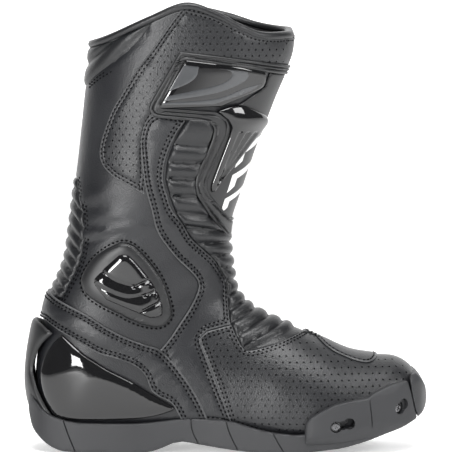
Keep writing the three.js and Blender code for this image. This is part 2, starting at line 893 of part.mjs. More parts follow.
const flexOutline = sketch(
  [-29, 262.6],
  [-30.7, 256],
  [
    [-43.8, 231.2],
    [-47.3, 209.3],
    [-43, 190],
    [-33, 165],
  ],
  [8, 165],
  [2.2, 170],
  [
    [-8.1, 184.6],
    [-18.2, 200.6],
    [-18.2, 213],
    [-8.1, 233.5],
    [-3, 247],
    [-9, 256],
  ],
  [-22, 262.6],
);
// The shin plate's rear edge, the same on both sides of the shaft.
const plateOutline = sketch(
  [-58, 267.6],
  [-57, 262.6],
  [-22, 262.6],
  [-9, 256],
  [
    [-3, 247],
    [-8.1, 233.5],
    [-18.2, 213],
    [-18.2, 200.6],
    [-8.1, 184.6],
    [2.2, 170],
  ],
  [10, 163],
  [90, 163],
  [90, 303.5],
  [70, 303.5],
  [11.2, 300.7],
  [-33, 307.5],
);
const plateInner = sketch(
  [-12, 300],
  [
    [-3, 247],
    [-8.1, 233.5],
    [-18.2, 213],
    [-18.2, 200.6],
    [-8.1, 184.6],
    [2.2, 170],
  ],
  [10, 163],
  [90, 163],
  [90, 303.5],
);
const shinPlateZone = sideCut(plateOutline, -REACH, 0).add(sideCut(plateInner, 0, REACH));
const shinPlate = shaftLeather.intersect(shinPlateZone);
const offThePlate = (body) => clearOf(body, shinPlateZone, [-GAP, 0, 0], [0, 0, GAP], [0, 0, -GAP]);
const softShaft = clearOf(offThePlate(shaftLeather), gussetZone, [GAP, 0, 0], [0, 0, -GAP]);
const outerHalf = outerSide(everywhere);
const outerShaft = softShaft.intersect(outerHalf);
const sideZone = outerSide(sideOutline);
const calfZone = outerSide(calfOutline);
const flexZone = outerSide(flexOutline);

addPiece("calf_gusset", shaftLeather.intersect(gussetZone), "stretch");
addPiece("shin_plate", shinPlate, "matte");
addPiece("calf_panel", outerShaft.intersect(calfZone), "leather");
const besideCalf = clearOf(outerShaft, calfZone, [GAP, 0, 0], [-GAP, 0, 0], [0, 0, -GAP]);
addPiece("side_panel", clearOf(besideCalf.intersect(sideZone), flexZone, [-GAP, 0, 0]), "leather");
addPiece("shin_flex_panel", besideCalf.intersect(flexZone), "stretch");
addPiece(
  "rear_panel",
  clearOf(clearOf(besideCalf, sideZone, [-GAP, 0, 0], [0, 0, GAP]), flexZone, [-GAP, 0, 0]),
  "leather",
);
const innerShaft = softShaft.subtract(wholeZip(ZIP.window, STOP + 2 * GAP)).intersect(innerSide(everywhere));
addPiece("inner_panel_front", innerShaft.intersect(frontOfZip), "leather");
addPiece("inner_panel_rear", innerShaft.intersect(rearOfZip), "leather");

const zipZone = (grow) => wholeZip(ZIP.tape + grow, TAPE_END + grow);
const shaftMiddle = middle.intersect(shaftPart).subtract(zipZone(GAP));
addPiece("shaft_padding", shaftMiddle, "textile");
const shaftLining = lining.intersect(shaftPart);
addPiece("shaft_lining", shaftLining.subtract(zipZone(GAP)), "textile");
addPiece("zip_gusset", shaftLining.intersect(zipZone(0)), "textile");

// The binding rolls over the top edge of leather, padding and lining.
const BINDING_PROUD = 0.8;
addPiece(
  "collar_binding",
  skin(BINDING_PROUD, INSIDE_AT - BINDING_PROUD)
    .intersect(underCollar(0))
    .subtract(underCollar(RIM)),
  "leather",
);

// ---------------------------------------------------------------- hard pieces on the shin
const insertSide = sketch(
  [-50, 268.5],
  [-30, 303],
  [11.2, 297],
  [
    [29.8, 292.6],
    [28.7, 284],
    [18.4, 277],
    [-3, 268.5],
  ],
);
const ventSide = sketch(
  [-5, 261.5],
  [
    [2, 266],
    [9.4, 267],
    [28.7, 259.7],
    [30.4, 256.3],
    [24.2, 244.9],
    [-4.3, 207.7],
  ],
  [
    [-11.5, 199.4],
    [-9.2, 213],
  ],
  [2.2, 244.9],
);
const frameSide = sketch(
  [-55, 262.4],
  [-57, 258],
  [-26, 256],
  [-14, 254],
  [
    [-8, 247],
    [-13, 234],
    [-23, 213],
    [-23, 199],
    [-13, 182],
  ],
  [1, 164.5],
  [9, 164.5],
  [
    [-5, 186],
    [-14.5, 201],
    [-14.5, 212],
    [-6, 231],
  ],
  [-0.5, 246],
  [-8, 259],
  [-20, 264.8],
);
const onShaft = above(raised(SHAFT_BOTTOM, 1));
addPiece("shin_insert", skin(2.4, GAP).intersect(outerSide(insertSide)), "gloss");
addPiece("shin_vent", skin(3, GAP).intersect(outerSide(ventSide)), "gloss");
addPiece("shin_frame", skin(1.8, GAP).intersect(outerSide(frameSide)).intersect(onShaft), "rubber");

// ---------------------------------------------------------------- flap over the zip's top
// The rear edge of the flap is sewn down. Its front edge is held by hook and loop.
const FLAP = { rear: -68, front: -16, low: 274, high: 318, face: 2.1, thick: 2 };
const flapSide = sketch(
  [FLAP.rear, FLAP.low],
  [FLAP.front - 8, FLAP.low + 4],
  [
    [FLAP.front, FLAP.low + 14],
    [FLAP.front, FLAP.high - 12],
    [FLAP.front - 9, FLAP.high - 2],
  ],
  [FLAP.rear, FLAP.high],
);
const patchSide = sketch([-40, 283], [-22, 286], [-22, 308], [-40, 310]);
addPiece("loop_patch", skin(0.9, GAP).intersect(innerSide(patchSide)), "textile");
addPiece("hook_patch", skin(1.8, 1.2).intersect(innerSide(patchSide)), "textile");
addPiece("closure_flap", skin(FLAP.face + FLAP.thick, FLAP.face).intersect(innerSide(flapSide)), "leather");

// ---------------------------------------------------------------- zip slider and pull
// Both stand in a frame of their own: X across the zip towards the toe, Z up it, Y outwards.
const zipPoint = (p, offset) => new THREE.Vector3(p.x, halfWidth(p.x, p.y, 1, offset), p.y);
const SLIDER_LIFT = 1.5; // under side of the slider, above the leather's face
const zipLow = zipPoint(ZIP.foot, SLIDER_LIFT);
const zipHigh = zipPoint(ZIP.head, SLIDER_LIFT);
const up = zipHigh.clone().sub(zipLow).normalize();
const across = new THREE.Vector3(zipAcross.x, 0, zipAcross.y);
across.addScaledVector(up, -across.dot(up)).normalize();
const outwards = new THREE.Vector3().crossVectors(up, across);
const zipFrame = new THREE.Group();
zipFrame.matrixAutoUpdate = false;
zipFrame.matrix.makeBasis(across, outwards, up).setPosition(zipHigh);
boot.add(zipFrame);

const SLIDER = { half: 4.5, length: 12, thick: 1.6, lug: 1.3, lugHeight: 3.4 };
const PULL = { barrel: 1.1, half: 1.9, width: 6.4, length: 23, thick: 1.3, pivot: 2.9 };

const sliderPlate = new THREE.Shape()
  .moveTo(-SLIDER.half * 0.7, -SLIDER.length)
  .lineTo(SLIDER.half * 0.7, -SLIDER.length)
  .lineTo(SLIDER.half, -SLIDER.length * 0.45)
  .lineTo(SLIDER.half * 0.8, 0)
  .lineTo(-SLIDER.half * 0.8, 0)
  .lineTo(-SLIDER.half, -SLIDER.length * 0.45);
const lugSide = PULL.half + GAP + SLIDER.lug / 2;
const PIVOT_Z = -SLIDER.length * 0.35;
let sliderBody = sideCut(sliderPlate, 0, SLIDER.thick);
for (const side of [-1, 1]) {
  const lug = new THREE.BoxGeometry(SLIDER.lug, SLIDER.lugHeight, 3.6);
  sliderBody = sliderBody.add(
    solid(lug).translate([side * lugSide, 1 + SLIDER.lugHeight / 2, PIVOT_Z]),
  );
}
addPiece("zip_slider", sliderBody, "steel", zipFrame);

const pullTab = new THREE.Shape()
  .moveTo(-PULL.half, PIVOT_Z)
  .lineTo(-PULL.half, PIVOT_Z - 5)
  .lineTo(-PULL.width / 2, PIVOT_Z - 8)
  .lineTo(-PULL.width / 2, PIVOT_Z - PULL.length + 3)
  .absarc(0, PIVOT_Z - PULL.length + 3, PULL.width / 2, Math.PI, 2 * Math.PI)
  .lineTo(PULL.width / 2, PIVOT_Z - 8)
  .lineTo(PULL.half, PIVOT_Z - 5)
  .lineTo(PULL.half, PIVOT_Z);
const barrel = new THREE.CylinderGeometry(PULL.barrel, PULL.barrel, 2 * PULL.half, 12);
barrel.rotateZ(Math.PI / 2);
addPiece(
  "zip_pull",
  solid(barrel)
    .translate([0, PULL.pivot, PIVOT_Z])
    .add(sideCut(pullTab, PULL.pivot - PULL.thick / 2, PULL.pivot + PULL.thick / 2)),
  "steel",
  zipFrame,
);

export default boot;
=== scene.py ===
import math

import bpy
import numpy as np
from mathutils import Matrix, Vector, geometry


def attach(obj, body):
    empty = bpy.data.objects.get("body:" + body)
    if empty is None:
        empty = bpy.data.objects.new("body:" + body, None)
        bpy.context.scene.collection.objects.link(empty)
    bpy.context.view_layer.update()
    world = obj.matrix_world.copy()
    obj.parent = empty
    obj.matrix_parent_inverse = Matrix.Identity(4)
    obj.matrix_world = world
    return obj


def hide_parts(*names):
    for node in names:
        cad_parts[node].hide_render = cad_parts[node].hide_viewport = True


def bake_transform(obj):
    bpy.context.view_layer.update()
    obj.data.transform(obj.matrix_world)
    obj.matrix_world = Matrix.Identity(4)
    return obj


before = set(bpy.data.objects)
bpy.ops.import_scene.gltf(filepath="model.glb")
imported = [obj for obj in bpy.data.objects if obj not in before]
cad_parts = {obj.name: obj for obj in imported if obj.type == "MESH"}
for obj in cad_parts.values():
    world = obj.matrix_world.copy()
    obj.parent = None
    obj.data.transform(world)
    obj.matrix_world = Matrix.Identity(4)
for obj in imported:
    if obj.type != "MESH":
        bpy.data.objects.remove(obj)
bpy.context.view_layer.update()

# --- The last ---------------------------------------------------------------------------
# The form that the boot is pulled over. Every leather panel, pad and guard is a flat pattern
# laid on it at a stated lift and thickness. Sizes here are in millimetres.
MM = 0.001
# One row for each section, toe to collar: its heel-side end and its instep-side end in X and Z,
# half widths out and in, offset of its middle, widest place, squareness heel and instep side.
LAST = np.array(
    [
        (146.5, 30, 149, 53, 23, 21, 8, -0.2, 3, 2.4),
        (140, 25.5, 143, 63.5, 34, 30, 7, -0.4, 4, 2.4),
        (128, 20.5, 131, 70.5, 41, 36, 6, -0.45, 4, 2.3),
        (110, 14.5, 114, 72, 46, 41, 4, -0.45, 4, 2.2),
        (88, 10.5, 95, 75.5, 49.5, 44.5, 2, -0.45, 4, 2.1),
        (62, 9.5, 77, 83.5, 50, 45.5, 0.5, -0.4, 4, 2),
        (35, 10, 60, 91, 48, 43, 0, -0.35, 4, 2),
        (8, 13, 45, 97, 44.5, 39, 0, -0.3, 4, 2),
        (-20, 16, 32, 103, 42, 37.5, 0, -0.25, 5, 2),
        (-50, 17, 21, 109, 41, 38, 0, -0.2, 6, 2.1),
        (-82, 16, 13, 116, 41, 39, 0, -0.2, 6, 2.1),
        (-112, 16, 8, 123, 41.5, 40, 0, -0.2, 5, 2.1),
        (-134, 19, 6, 130, 42, 41, 0, -0.15, 3.6, 2.1),
        (-144, 32, 5, 137, 42.5, 41.5, 0, -0.1, 2.8, 2.1),
        (-148, 50, 4, 144, 43, 42, 0, -0.1, 2.5, 2.1),
        (-147, 72, 3, 151, 43.5, 42.5, 0, -0.05, 2.4, 2.1),
        (-143, 95, 2.5, 158, 44, 43, 0, -0.05, 2.3, 2.1),
        (-138.5, 116, 2, 165, 44.5, 44, 0, -0.05, 2.2, 2.1),
        (-130.5, 133, 3, 174, 45.5, 45, 0, -0.05, 2.2, 2.1),
        (-124.5, 150, 5.5, 184, 47, 46.5, 0, -0.05, 2.2, 2.1),
        (-121.5, 170, 10, 197, 49, 48.5, 0, -0.05, 2.2, 2.1),
        (-118.5, 194, 15.5, 213, 51, 50.5, 0, -0.05, 2.2, 2.1),
        (-115.5, 219, 21.5, 231, 52.5, 52, 0, -0.05, 2.2, 2.1),
        (-113, 245, 29.5, 251, 54, 53.5, 0, -0.05, 2.2, 2.1),
        (-110.5, 270, 38, 273, 55, 54.5, 0, -0.05, 2.2, 2.1),
        (-107.5, 293, 46.5, 293, 55.5, 55, 0, -0.05, 2.2, 2.1),
        (-105, 314, 52.5, 311, 56, 55.5, 0, -0.05, 2.2, 2.1),
        (-103, 352, 56, 352, 56.5, 56, 0, -0.05, 2.2, 2.1),
    ]
)
TOP = len(LAST) - 1
TOE_DOME = 4.0  # how far the closed toe bulges past the first section
FLAT = np.array([20.0, 45.0])  # about how many mm a section and a radian are in a flat pattern


def between(a, b, c, d, t):
    """A value that runs smoothly through four, at share t of the way from b to c."""
    return b + 0.5 * t * (c - a + t * (2 * a - 5 * b + 4 * c - d + t * (3 * (b - c) + d - a)))


def sections(s):
    """The rows of the last at places s along it."""
    i = np.clip(np.floor(s).astype(int), 0, TOP - 1)
    rows = [LAST[np.clip(i + k, 0, TOP)] for k in (-1, 0, 1, 2)]
    return between(*rows, (s - i)[..., None])


def bare(place):
    """Points of the last at places (section, angle). The outer side's angles are negative."""
    s, angle = place[..., 0], place[..., 1]
    q = np.moveaxis(sections(np.maximum(s, 0)), -1, 0)
    toe = np.clip(-s, 0, 1)
    shrink = np.sqrt(1 - toe**2)
    c, w = np.cos(angle), np.sin(angle)
    square = np.where(c >= 0, q[9], q[8])
    reach = (np.abs(c) ** square + np.abs(w) ** square) ** (-1 / square)
    along = reach * np.abs(c)
    u = np.where(c >= 0, q[7] + (1 - q[7]) * along, q[7] - (1 + q[7]) * along) * shrink
    share = (u + 1) / 2
    half = np.where(w >= 0, q[5], -q[4]) * reach * np.abs(w) * shrink
    x = q[0] + (q[2] - q[0]) * share + TOE_DOME * toe
    z = q[1] + (q[3] - q[1]) * share
    return np.stack([x, q[6] + half, z], -1)


def tangents(place):
    """How a point of the last moves with its section and with its angle, and its normal."""
    small = 1e-3
    ds, da = np.array([small, 0]), np.array([0, small])
    by_section = (bare(place + ds) - bare(place - ds)) / (2 * small)
    by_angle = (bare(place + da) - bare(place - da)) / (2 * small)
    normal = np.cross(by_angle, by_section)
    normal /= np.linalg.norm(normal, axis=-1, keepdims=True) + 1e-12
    return by_section, by_angle, normal


def lifted(place, lift=0.0):
    """Points a lift above the last."""
    return bare(place) + tangents(place)[2] * np.asarray(lift)[..., None]


def on_last(points, side=-1):
    """Side-view points, in X and Z, as places on the last."""
    p = np.asarray(points, float)
    low, high = np.zeros(len(p)), np.full(len(p), float(TOP))
    for _ in range(26):
        middle = (low + high) / 2
        q = sections(middle)
        dx, dz = q[:, 2] - q[:, 0], q[:, 3] - q[:, 1]
        ahead = dx * (p[:, 1] - q[:, 1]) - dz * (p[:, 0] - q[:, 0]) > 0
        low, high = np.where(ahead, middle, low), np.where(ahead, high, middle)
    q = sections(low)
    span = q[:, 2:4] - q[:, 0:2]
    u = 2 * ((p - q[:, 0:2]) * span).sum(1) / (span**2).sum(1) - 1
    past = u - q[:, 7]
    front = past >= 0
    along = np.clip(np.where(front, past / (1 - q[:, 7]), -past / (1 + q[:, 7])), 0, 1)
    square = np.where(front, q[:, 9], q[:, 8])
    across = (1 - along**square) ** (1 / square)
    return np.column_stack([low, side * np.arctan2(across, np.where(front, along, -along))])


# --- Cutting and laying leather ---------------------------------------------------------
# A panel is cut from its outline in the side view, with its punched holes, and laid on the
# last. Its edge is skived and rolled down, and a groove runs where it is sewn.
def through(points, step):
    """A smooth run through given points, about a step apart."""
    p = np.array(points, float)
    rows = np.vstack([2 * p[0] - p[1], p, 2 * p[-1] - p[-2]])
    run = []
    for a, b, c, d in zip(rows, rows[1:], rows[2:], rows[3:]):
        count = max(1, round(np.linalg.norm(c - b) / step))
        run.append(between(a, b, c, d, (np.arange(count) / count)[:, None]))
    return np.vstack(run + [p[-1:]])


def sketch(start, *steps, step=2.0, closed=True):
    """An outline. A point is reached by a straight edge, a list of points by one smooth curve."""
    at, run = start, []
    for part in steps:
        part = [part] if np.isscalar(part[0]) else list(part)
        run.append(through([at] + part, step)[:-1])
        at = part[-1]
    if closed:
        run.append(through([at, start], step)[:-1])
    else:
        run.append(np.array([at], float))
    return np.vstack(run)


def inside(points, edge):
    """Which points lie inside a closed outline."""
    x, y = points[:, 0:1], points[:, 1:2]
    a, b = edge, np.roll(edge, -1, 0)
    crosses = (a[:, 1] > y) != (b[:, 1] > y)
    slope = (b[:, 0] - a[:, 0]) / np.where(b[:, 1] == a[:, 1], 1e-9, b[:, 1] - a[:, 1])
    return (crosses & (x < a[:, 0] + slope * (y - a[:, 1]))).sum(1) % 2 == 1


def to_edge(points, edge):
    """Distance from each point to a closed line of points."""
    a, b = edge, np.roll(edge, -1, 0)
    d = b - a
    length = (d**2).sum(1) + 1e-9
    best = np.full(len(points), 1e9)
    for first in range(0, len(points), 2000):
        p = points[first : first + 2000, None]
        t = np.clip(((p - a) * d).sum(-1) / length, 0, 1)
        best[first : first + 2000] = np.linalg.norm(p - (a + t[..., None] * d), axis=-1).min(1)
    return best


def moved_in(edge, distance):
    """A closed outline of places moved inwards over the last by a distance."""
    by_section, by_angle, normal = tangents(edge)
    points = bare(edge)
    tangent = np.roll(points, -1, 0) - np.roll(points, 1, 0)
    inward = np.cross(normal, tangent)
    inward /= np.linalg.norm(inward, axis=1, keepdims=True) + 1e-12
    flat = edge * FLAT
    turn = (flat[:, 0] * np.roll(flat[:, 1], -1) - np.roll(flat[:, 0], -1) * flat[:, 1]).sum()
    inward *= distance * (-1 if turn > 0 else 1)
    aa, ab = (by_section**2).sum(1), (by_section * by_angle).sum(1)
    bb = (by_angle**2).sum(1)
    pa, pb = (by_section * inward).sum(1), (by_angle * inward).sum(1)
    det = aa * bb - ab**2 + 1e-9
    return edge + np.column_stack([(pa * bb - pb * ab) / det, (pb * aa - pa * ab) / det])


def mirrored(edge, around=0.0):
    """Places mirrored about the front line, or about the back line at an angle of minus pi."""
    return np.column_stack([edge[:, 0], 2 * around - edge[:, 1]])[::-1]


def mesh_object(name, points, faces):
    """A new object from points in millimetres."""
    mesh = bpy.data.meshes.new(name)
    mesh.from_pydata((np.asarray(points) * MM).tolist(), [], faces)
    mesh.validate()
    obj = bpy.data.objects.new(name.replace("_", "-"), mesh)
    bpy.context.collection.objects.link(obj)
    return obj


def only(obj):
    bpy.ops.object.select_all(action="DESELECT")
    obj.select_set(True)
    bpy.context.view_layer.objects.active = obj


def modify(obj, kind, **settings):
    """Adds a modifier and applies it."""
    only(obj)
    modifier = obj.modifiers.new(kind, kind)
    for key, value in settings.items():
        setattr(modifier, key, value)
    bpy.ops.object.modifier_apply(modifier=modifier.name)


def smooth(obj, degrees=35):
    only(obj)
    bpy.ops.object.shade_smooth_by_angle(angle=math.radians(degrees))


def outward(obj):
    """Turns every face of a closed piece to look out."""
    only(obj)
    bpy.ops.object.mode_set(mode="EDIT")
    bpy.ops.mesh.select_all(action="SELECT")
    bpy.ops.mesh.normals_make_consistent(inside=False)
    bpy.ops.object.mode_set(mode="OBJECT")
    return obj


def circle_places(centre, radius, corners=8):
    """A ring of places that is a true circle on the last."""
    by_section, by_angle, _ = tangents(centre)
    aa, ab = by_section @ by_section, by_section @ by_angle
    across = by_angle - by_section * (ab / aa)
    turn = np.arange(corners) * 2 * math.pi / corners
    db = radius * np.sin(turn) / np.linalg.norm(across)
    da = radius * np.cos(turn) / math.sqrt(aa) - db * ab / aa
    return centre + np.column_stack([da, db])


def filled(edge, gap=3.0):
    """The same closed outline with points added along its long edges."""
    rows = []
    for a, b in zip(edge, np.roll(edge, -1, 0)):
        count = max(1, math.ceil(np.linalg.norm((b - a) * FLAT) / gap))
        rows.append(a + (b - a) * (np.arange(count) / count)[:, None])
    return np.vstack(rows)


ROLL = 1.0  # how far the edge of a panel is turned down
ROLL_WIDTH = 1.5  # and how wide the turn is
GROOVE = 0.4  # depth of a sewn groove
GROOVE_WIDTH = 0.75
RINGS = (0.35, 0.9, 1.7, 3.0)


def lay(name, edge, lift, thick, step=4.5, holes=(), seams=(), roll=ROLL, shape=None, crisp=35):
    """A panel cut to a closed outline of places and laid on the last."""
    edge = filled(edge)
    flat_edge = edge * FLAT
    rim = bare(edge)
    rings = list(RINGS)
    for seam in seams:
        rings += [seam - GROOVE_WIDTH, seam, seam + GROOVE_WIDTH]
    extra = []
    for ring in rings:
        row = moved_in(edge, ring)
        keep = inside(row * FLAT, flat_edge) & (to_edge(bare(row), rim) > ring * 0.85)
        extra.append(row[keep])
    low, high = flat_edge.min(0), flat_edge.max(0)
    gx, gy = np.meshgrid(np.arange(low[0], high[0], step), np.arange(low[1], high[1], step * 0.87))
    gx = gx + np.where(np.arange(gx.shape[0]) % 2 == 0, 0, step / 2)[:, None]
    grid = np.column_stack([gx.ravel(), gy.ravel()])
    grid = grid[inside(grid, flat_edge)] / FLAT
    clear = max(rings) + step * 0.35
    grid = grid[to_edge(bare(grid), rim) > clear]
    hole_rings = [circle_places(centre, radius) for centre, radius in holes]
    if hole_rings:
        centres = bare(np.array([centre for centre, _ in holes]))
        points = bare(grid)
        near = np.array([np.linalg.norm(centres - p, axis=1).min() for p in points])
        grid = grid[near > 2.0]
    parts = [edge] + hole_rings + extra + [grid]
    places = np.vstack(parts)
    owner = np.concatenate([np.full(len(part), k) for k, part in enumerate(parts)])
    loops, start = [], 0
    for part in parts[: 1 + len(hole_rings)]:
        index = list(range(start, start + len(part)))
        loops += list(zip(index, index[1:] + index[:1]))
        start += len(part)
    flat = places * FLAT
    result = geometry.delaunay_2d_cdt(
        [Vector(p) for p in flat], loops, [list(range(len(edge)))], 1, 1e-4
    )
    made = np.array([tuple(v) for v in result[0]]) / FLAT
    origin = [ids[0] if ids else -1 for ids in result[3]]
    faces = []
    for face in result[2]:
        holes_of = {owner[origin[v]] if origin[v] >= 0 else -1 for v in face}
        if len(holes_of) == 1 and 0 < next(iter(holes_of)) <= len(hole_rings):
            continue
        faces.append(list(face))
    distance = to_edge(bare(made), rim)
    share = np.clip(distance / ROLL_WIDTH, 0, 1)
    height = lift - roll * (1 - np.sqrt(1 - (1 - share) ** 2))
    for seam in seams:
        height = height - GROOVE * np.exp(-(((distance - seam) / (0.6 * GROOVE_WIDTH)) ** 2))
    if shape is not None:
        height = height + shape(made, distance)
    obj = mesh_object(name, lifted(made, height), faces)
    normals = tangents(made)[2]
    test = faces[len(faces) // 2]
    a, b, c = (np.array(obj.data.vertices[v].co) for v in test)
    if np.cross(b - a, c - a) @ normals[test[0]] < 0:
        obj.data.flip_normals()
    # Distance from the edge, kept for the shader, which paints a highlight along the rolled edge.
    layer = obj.data.attributes.new("edge_mm", "FLOAT", "POINT")
    layer.data.foreach_set("value", distance.astype(np.float32))
    modify(obj, "SOLIDIFY", thickness=thick * MM, offset=-1)
    smooth(obj, crisp)
    return obj


def sew(name, rows, lift, length=2.3, gap=1.3, radius=0.62, closed=True):
    """Rows of stitches along lines of places: each is a short fat thread, sunk at both ends."""
    ends = np.array([-1, -0.55, 0.55, 1]) * length / 2
    girth = np.array([0, 1, 1, 0]) * radius
    sides = 6
    points, faces = [], []
    for row in rows:
        for _ in range(3):
            if closed:
                row = (np.roll(row, 1, 0) + 2 * row + np.roll(row, -1, 0)) / 4
            else:
                row = np.vstack([row[:1], (row[:-2] + 2 * row[1:-1] + row[2:]) / 4, row[-1:]])
        line = lifted(row, lift)
        place = row
        if closed:
            line, place = np.vstack([line, line[:1]]), np.vstack([row, row[:1]])
        gaps = np.linalg.norm(np.diff(line, axis=0), axis=1)
        at = np.concatenate([[0], np.cumsum(gaps)])
        count = int(at[-1] / (length + gap))
        if count < 1:
            continue
        mids = (np.arange(count) + 0.5) * at[-1] / count
        centre = np.column_stack([np.interp(mids, at, line[:, k]) for k in range(3)])
        ahead = np.column_stack([np.interp(mids + 0.6, at, line[:, k]) for k in range(3)])
        behind = np.column_stack([np.interp(mids - 0.6, at, line[:, k]) for k in range(3)])
        spots = np.column_stack([np.interp(mids, at, place[:, k]) for k in range(2)])
        normal = tangents(spots)[2]
        run = ahead - behind
        run /= np.linalg.norm(run, axis=1, keepdims=True) + 1e-9
        side = np.cross(normal, run)
        for c, t, n, w in zip(centre, run, normal, side):
            base = len(points)
            points.append(c + t * ends[0] - n * radius)
            for ring in (1, 2):
                for k in range(sides):
                    turn = 2 * math.pi * k / sides
                    out = n * math.sin(turn) + w * math.cos(turn)
                    points.append(c + t * ends[ring] + out * girth[ring])
            points.append(c + t * ends[3] - n * radius)
            last = base + 1 + 2 * sides
            for k in range(sides):
                a, b = base + 1 + k, base + 1 + (k + 1) % sides
                faces.append((base, b, a))
                faces.append((a, b, b + sides, a + sides))
                faces.append((a + sides, b + sides, last))
    obj = mesh_object(name, points, faces)
    smooth(obj, 60)
    return obj


# --- Leather, thread and how pieces are fixed -------------------------------------------
# Smooth black microfibre leather with a fine pebble. Where it is rolled over an edge it catches
# the light, and its colour is also painted paler there: a painted highlight. The ankle bends between
# the foot and the shaft.
def material(name, color, rough, metal=0.0):
    """A new material with its shader and a node maker."""
    made = bpy.data.materials.new(name)
    made.use_nodes = True
    nodes = made.node_tree.nodes
    shader = nodes["Principled BSDF"]
    shader.inputs["Base Color"].default_value = (*color, 1)
    shader.inputs["Roughness"].default_value = rough
    shader.inputs["Metallic"].default_value = metal
    return made, shader


def node(made, kind, inputs=(), **settings):
    """A node with its settings, and its inputs set to values or linked from sockets."""
    new = made.node_tree.nodes.new(kind)
    for key, value in settings.items():
        setattr(new, key, value)
    for key, value in dict(inputs).items():
        if isinstance(value, bpy.types.NodeSocket):
            made.node_tree.links.new(value, new.inputs[key])
        else:
            new.inputs[key].default_value = value
    return new


def on_piece(made):
    """Places measured on the piece itself."""
    return node(made, "ShaderNodeTexCoord").outputs["Object"]


def mottled(made, where, color, spread, scale):
    """A colour that drifts a little darker and lighter over the surface."""
    noise = node(made, "ShaderNodeTexNoise", {"Vector": where, "Scale": scale, "Detail": 4.0})
    ramp = node(made, "ShaderNodeValToRGB", {"Fac": noise.outputs["Fac"]})
    for element, share in zip(ramp.color_ramp.elements, (1 - spread, 1 + spread)):
        element.color = (*(min(1, c * share) for c in color), 1)
    ramp.color_ramp.elements[0].position = 0.3
    ramp.color_ramp.elements[1].position = 0.7
    return ramp.outputs["Color"], noise.outputs["Fac"]


def ranged(made, value, low, high, from_low=0.0, from_high=1.0):
    new = node(made, "ShaderNodeMapRange", {"Value": value, "To Min": low, "To Max": high})
    new.inputs["From Min"].default_value = from_low
    new.inputs["From Max"].default_value = from_high
    return new.outputs["Result"]


def bumped(made, shader, heights, distances, strengths):
    """Bumps laid one over another."""
    normal = None
    for height, distance, strength in zip(heights, distances, strengths):
        bump = node(made, "ShaderNodeBump", {"Height": height, "Distance": distance})
        bump.inputs["Strength"].default_value = strength
        if normal is not None:
            made.node_tree.links.new(normal, bump.inputs["Normal"])
        normal = bump.outputs["Normal"]
    made.node_tree.links.new(normal, shader.inputs["Normal"])


def leather(name, color, rough=0.46, edge_highlight_color=None, crease=0.36):
    made, shader = material(name, color, rough)
    links = made.node_tree.links
    where = on_piece(made)
    tone, drift = mottled(made, where, color, 0.16, 22.0)
    pebble = node(made, "ShaderNodeTexVoronoi", {"Vector": where, "Scale": 950.0})
    pores = node(made, "ShaderNodeTexNoise", {"Vector": where, "Scale": 2600.0, "Detail": 2.0})
    creases = node(made, "ShaderNodeTexNoise", {"Vector": where, "Scale": 42.0, "Detail": 5.0})
    # Near the edge the colour is mixed towards a paler one: a painted highlight on the rolled edge.
    if edge_highlight_color:
        edge = node(made, "ShaderNodeAttribute", attribute_name="edge_mm").outputs["Fac"]
        rolled = ranged(made, edge, 1.0, 0.0, 0.5, 1.7)
        mix = node(made, "ShaderNodeMix", {"Factor": rolled}, data_type="RGBA")
        links.new(tone, mix.inputs["A"])
        mix.inputs["B"].default_value = (*edge_highlight_color, 1)
        tone = mix.outputs["Result"]
    links.new(tone, shader.inputs["Base Color"])
    links.new(ranged(made, drift, rough - 0.05, rough + 0.07), shader.inputs["Roughness"])
    heights = (pebble.outputs["Distance"], pores.outputs["Fac"], creases.outputs["Fac"])
    bumped(made, shader, heights, (0.00022, 0.00010, 0.0022), (0.55, 0.35, crease))
    shader.inputs["Specular IOR Level"].default_value = 0.45
    return made


def put(obj, finish, slot, body=None, *nodes):
    """Gives a piece its finish and its body, and hides the nodes it stands for."""
    obj.data.materials.clear()
    obj.data.materials.append(finish)
    if body is None:
        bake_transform(obj)
    else:
        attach(obj, body)
    if nodes:
        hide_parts(*nodes)
    return obj


def stitch(name, edge, gaps, lift, body=None):
    """Rows of stitches a gap in from a closed outline, fixed to the body they are sewn to."""
    rows = [moved_in(edge, gap) for gap in gaps]
    return put(sew(f"{name}_stitches", rows, lift), thread, "smooth_leather", body)


CHARCOAL = (0.0080, 0.0085, 0.0103)
# Paler colour painted on the rolled edges of the leather: a painted highlight.
ROLLED_EDGE_HIGHLIGHT = (0.060, 0.061, 0.063)
smooth_leather = leather("smooth_black_leather", CHARCOAL, 0.37, ROLLED_EDGE_HIGHLIGHT)
thread, thread_shader = material("bonded_thread", (0.0015, 0.0015, 0.002), 0.9)
thread_shader.inputs["Specular IOR Level"].default_value = 0.12
lay_of_thread = {"Vector": on_piece(thread), "Scale": 900.0}
twist = node(thread, "ShaderNodeTexWave", lay_of_thread, bands_direction="DIAGONAL")
bumped(thread, thread_shader, (twist.outputs["Fac"],), (0.0002,), (0.5,))

SOLE_LINE = [
    (-158, 52),
    (-149, 41),
    (-143.5, 33),
    (-135.5, 26),
    (-115, 20),
    (-64, 20),
    (-27, 23),
    (4.6, 21),
    (36, 13),
    (60, 12),
    (110, 16),
    (140, 27),
    (160, 36),
]
# The top edge of the leather, back to front, on the outer and on the inner side.
COLLAR = [
    (-125, 311), (-95, 318), (-60, 333), (-31, 344), (-8, 338), (12, 328), (32, 321.5), (70, 324.5)
]
COLLAR_INNER = [
    (-125, 311), (-95, 317), (-60, 331), (-30, 341.5), (0, 337), (25, 329.5), (45, 326), (70, 324.5)
]
RIM = 4.5  # height of the rolled binding


def lowered(line, drop):
    return [(x, z - drop) for x, z in line]


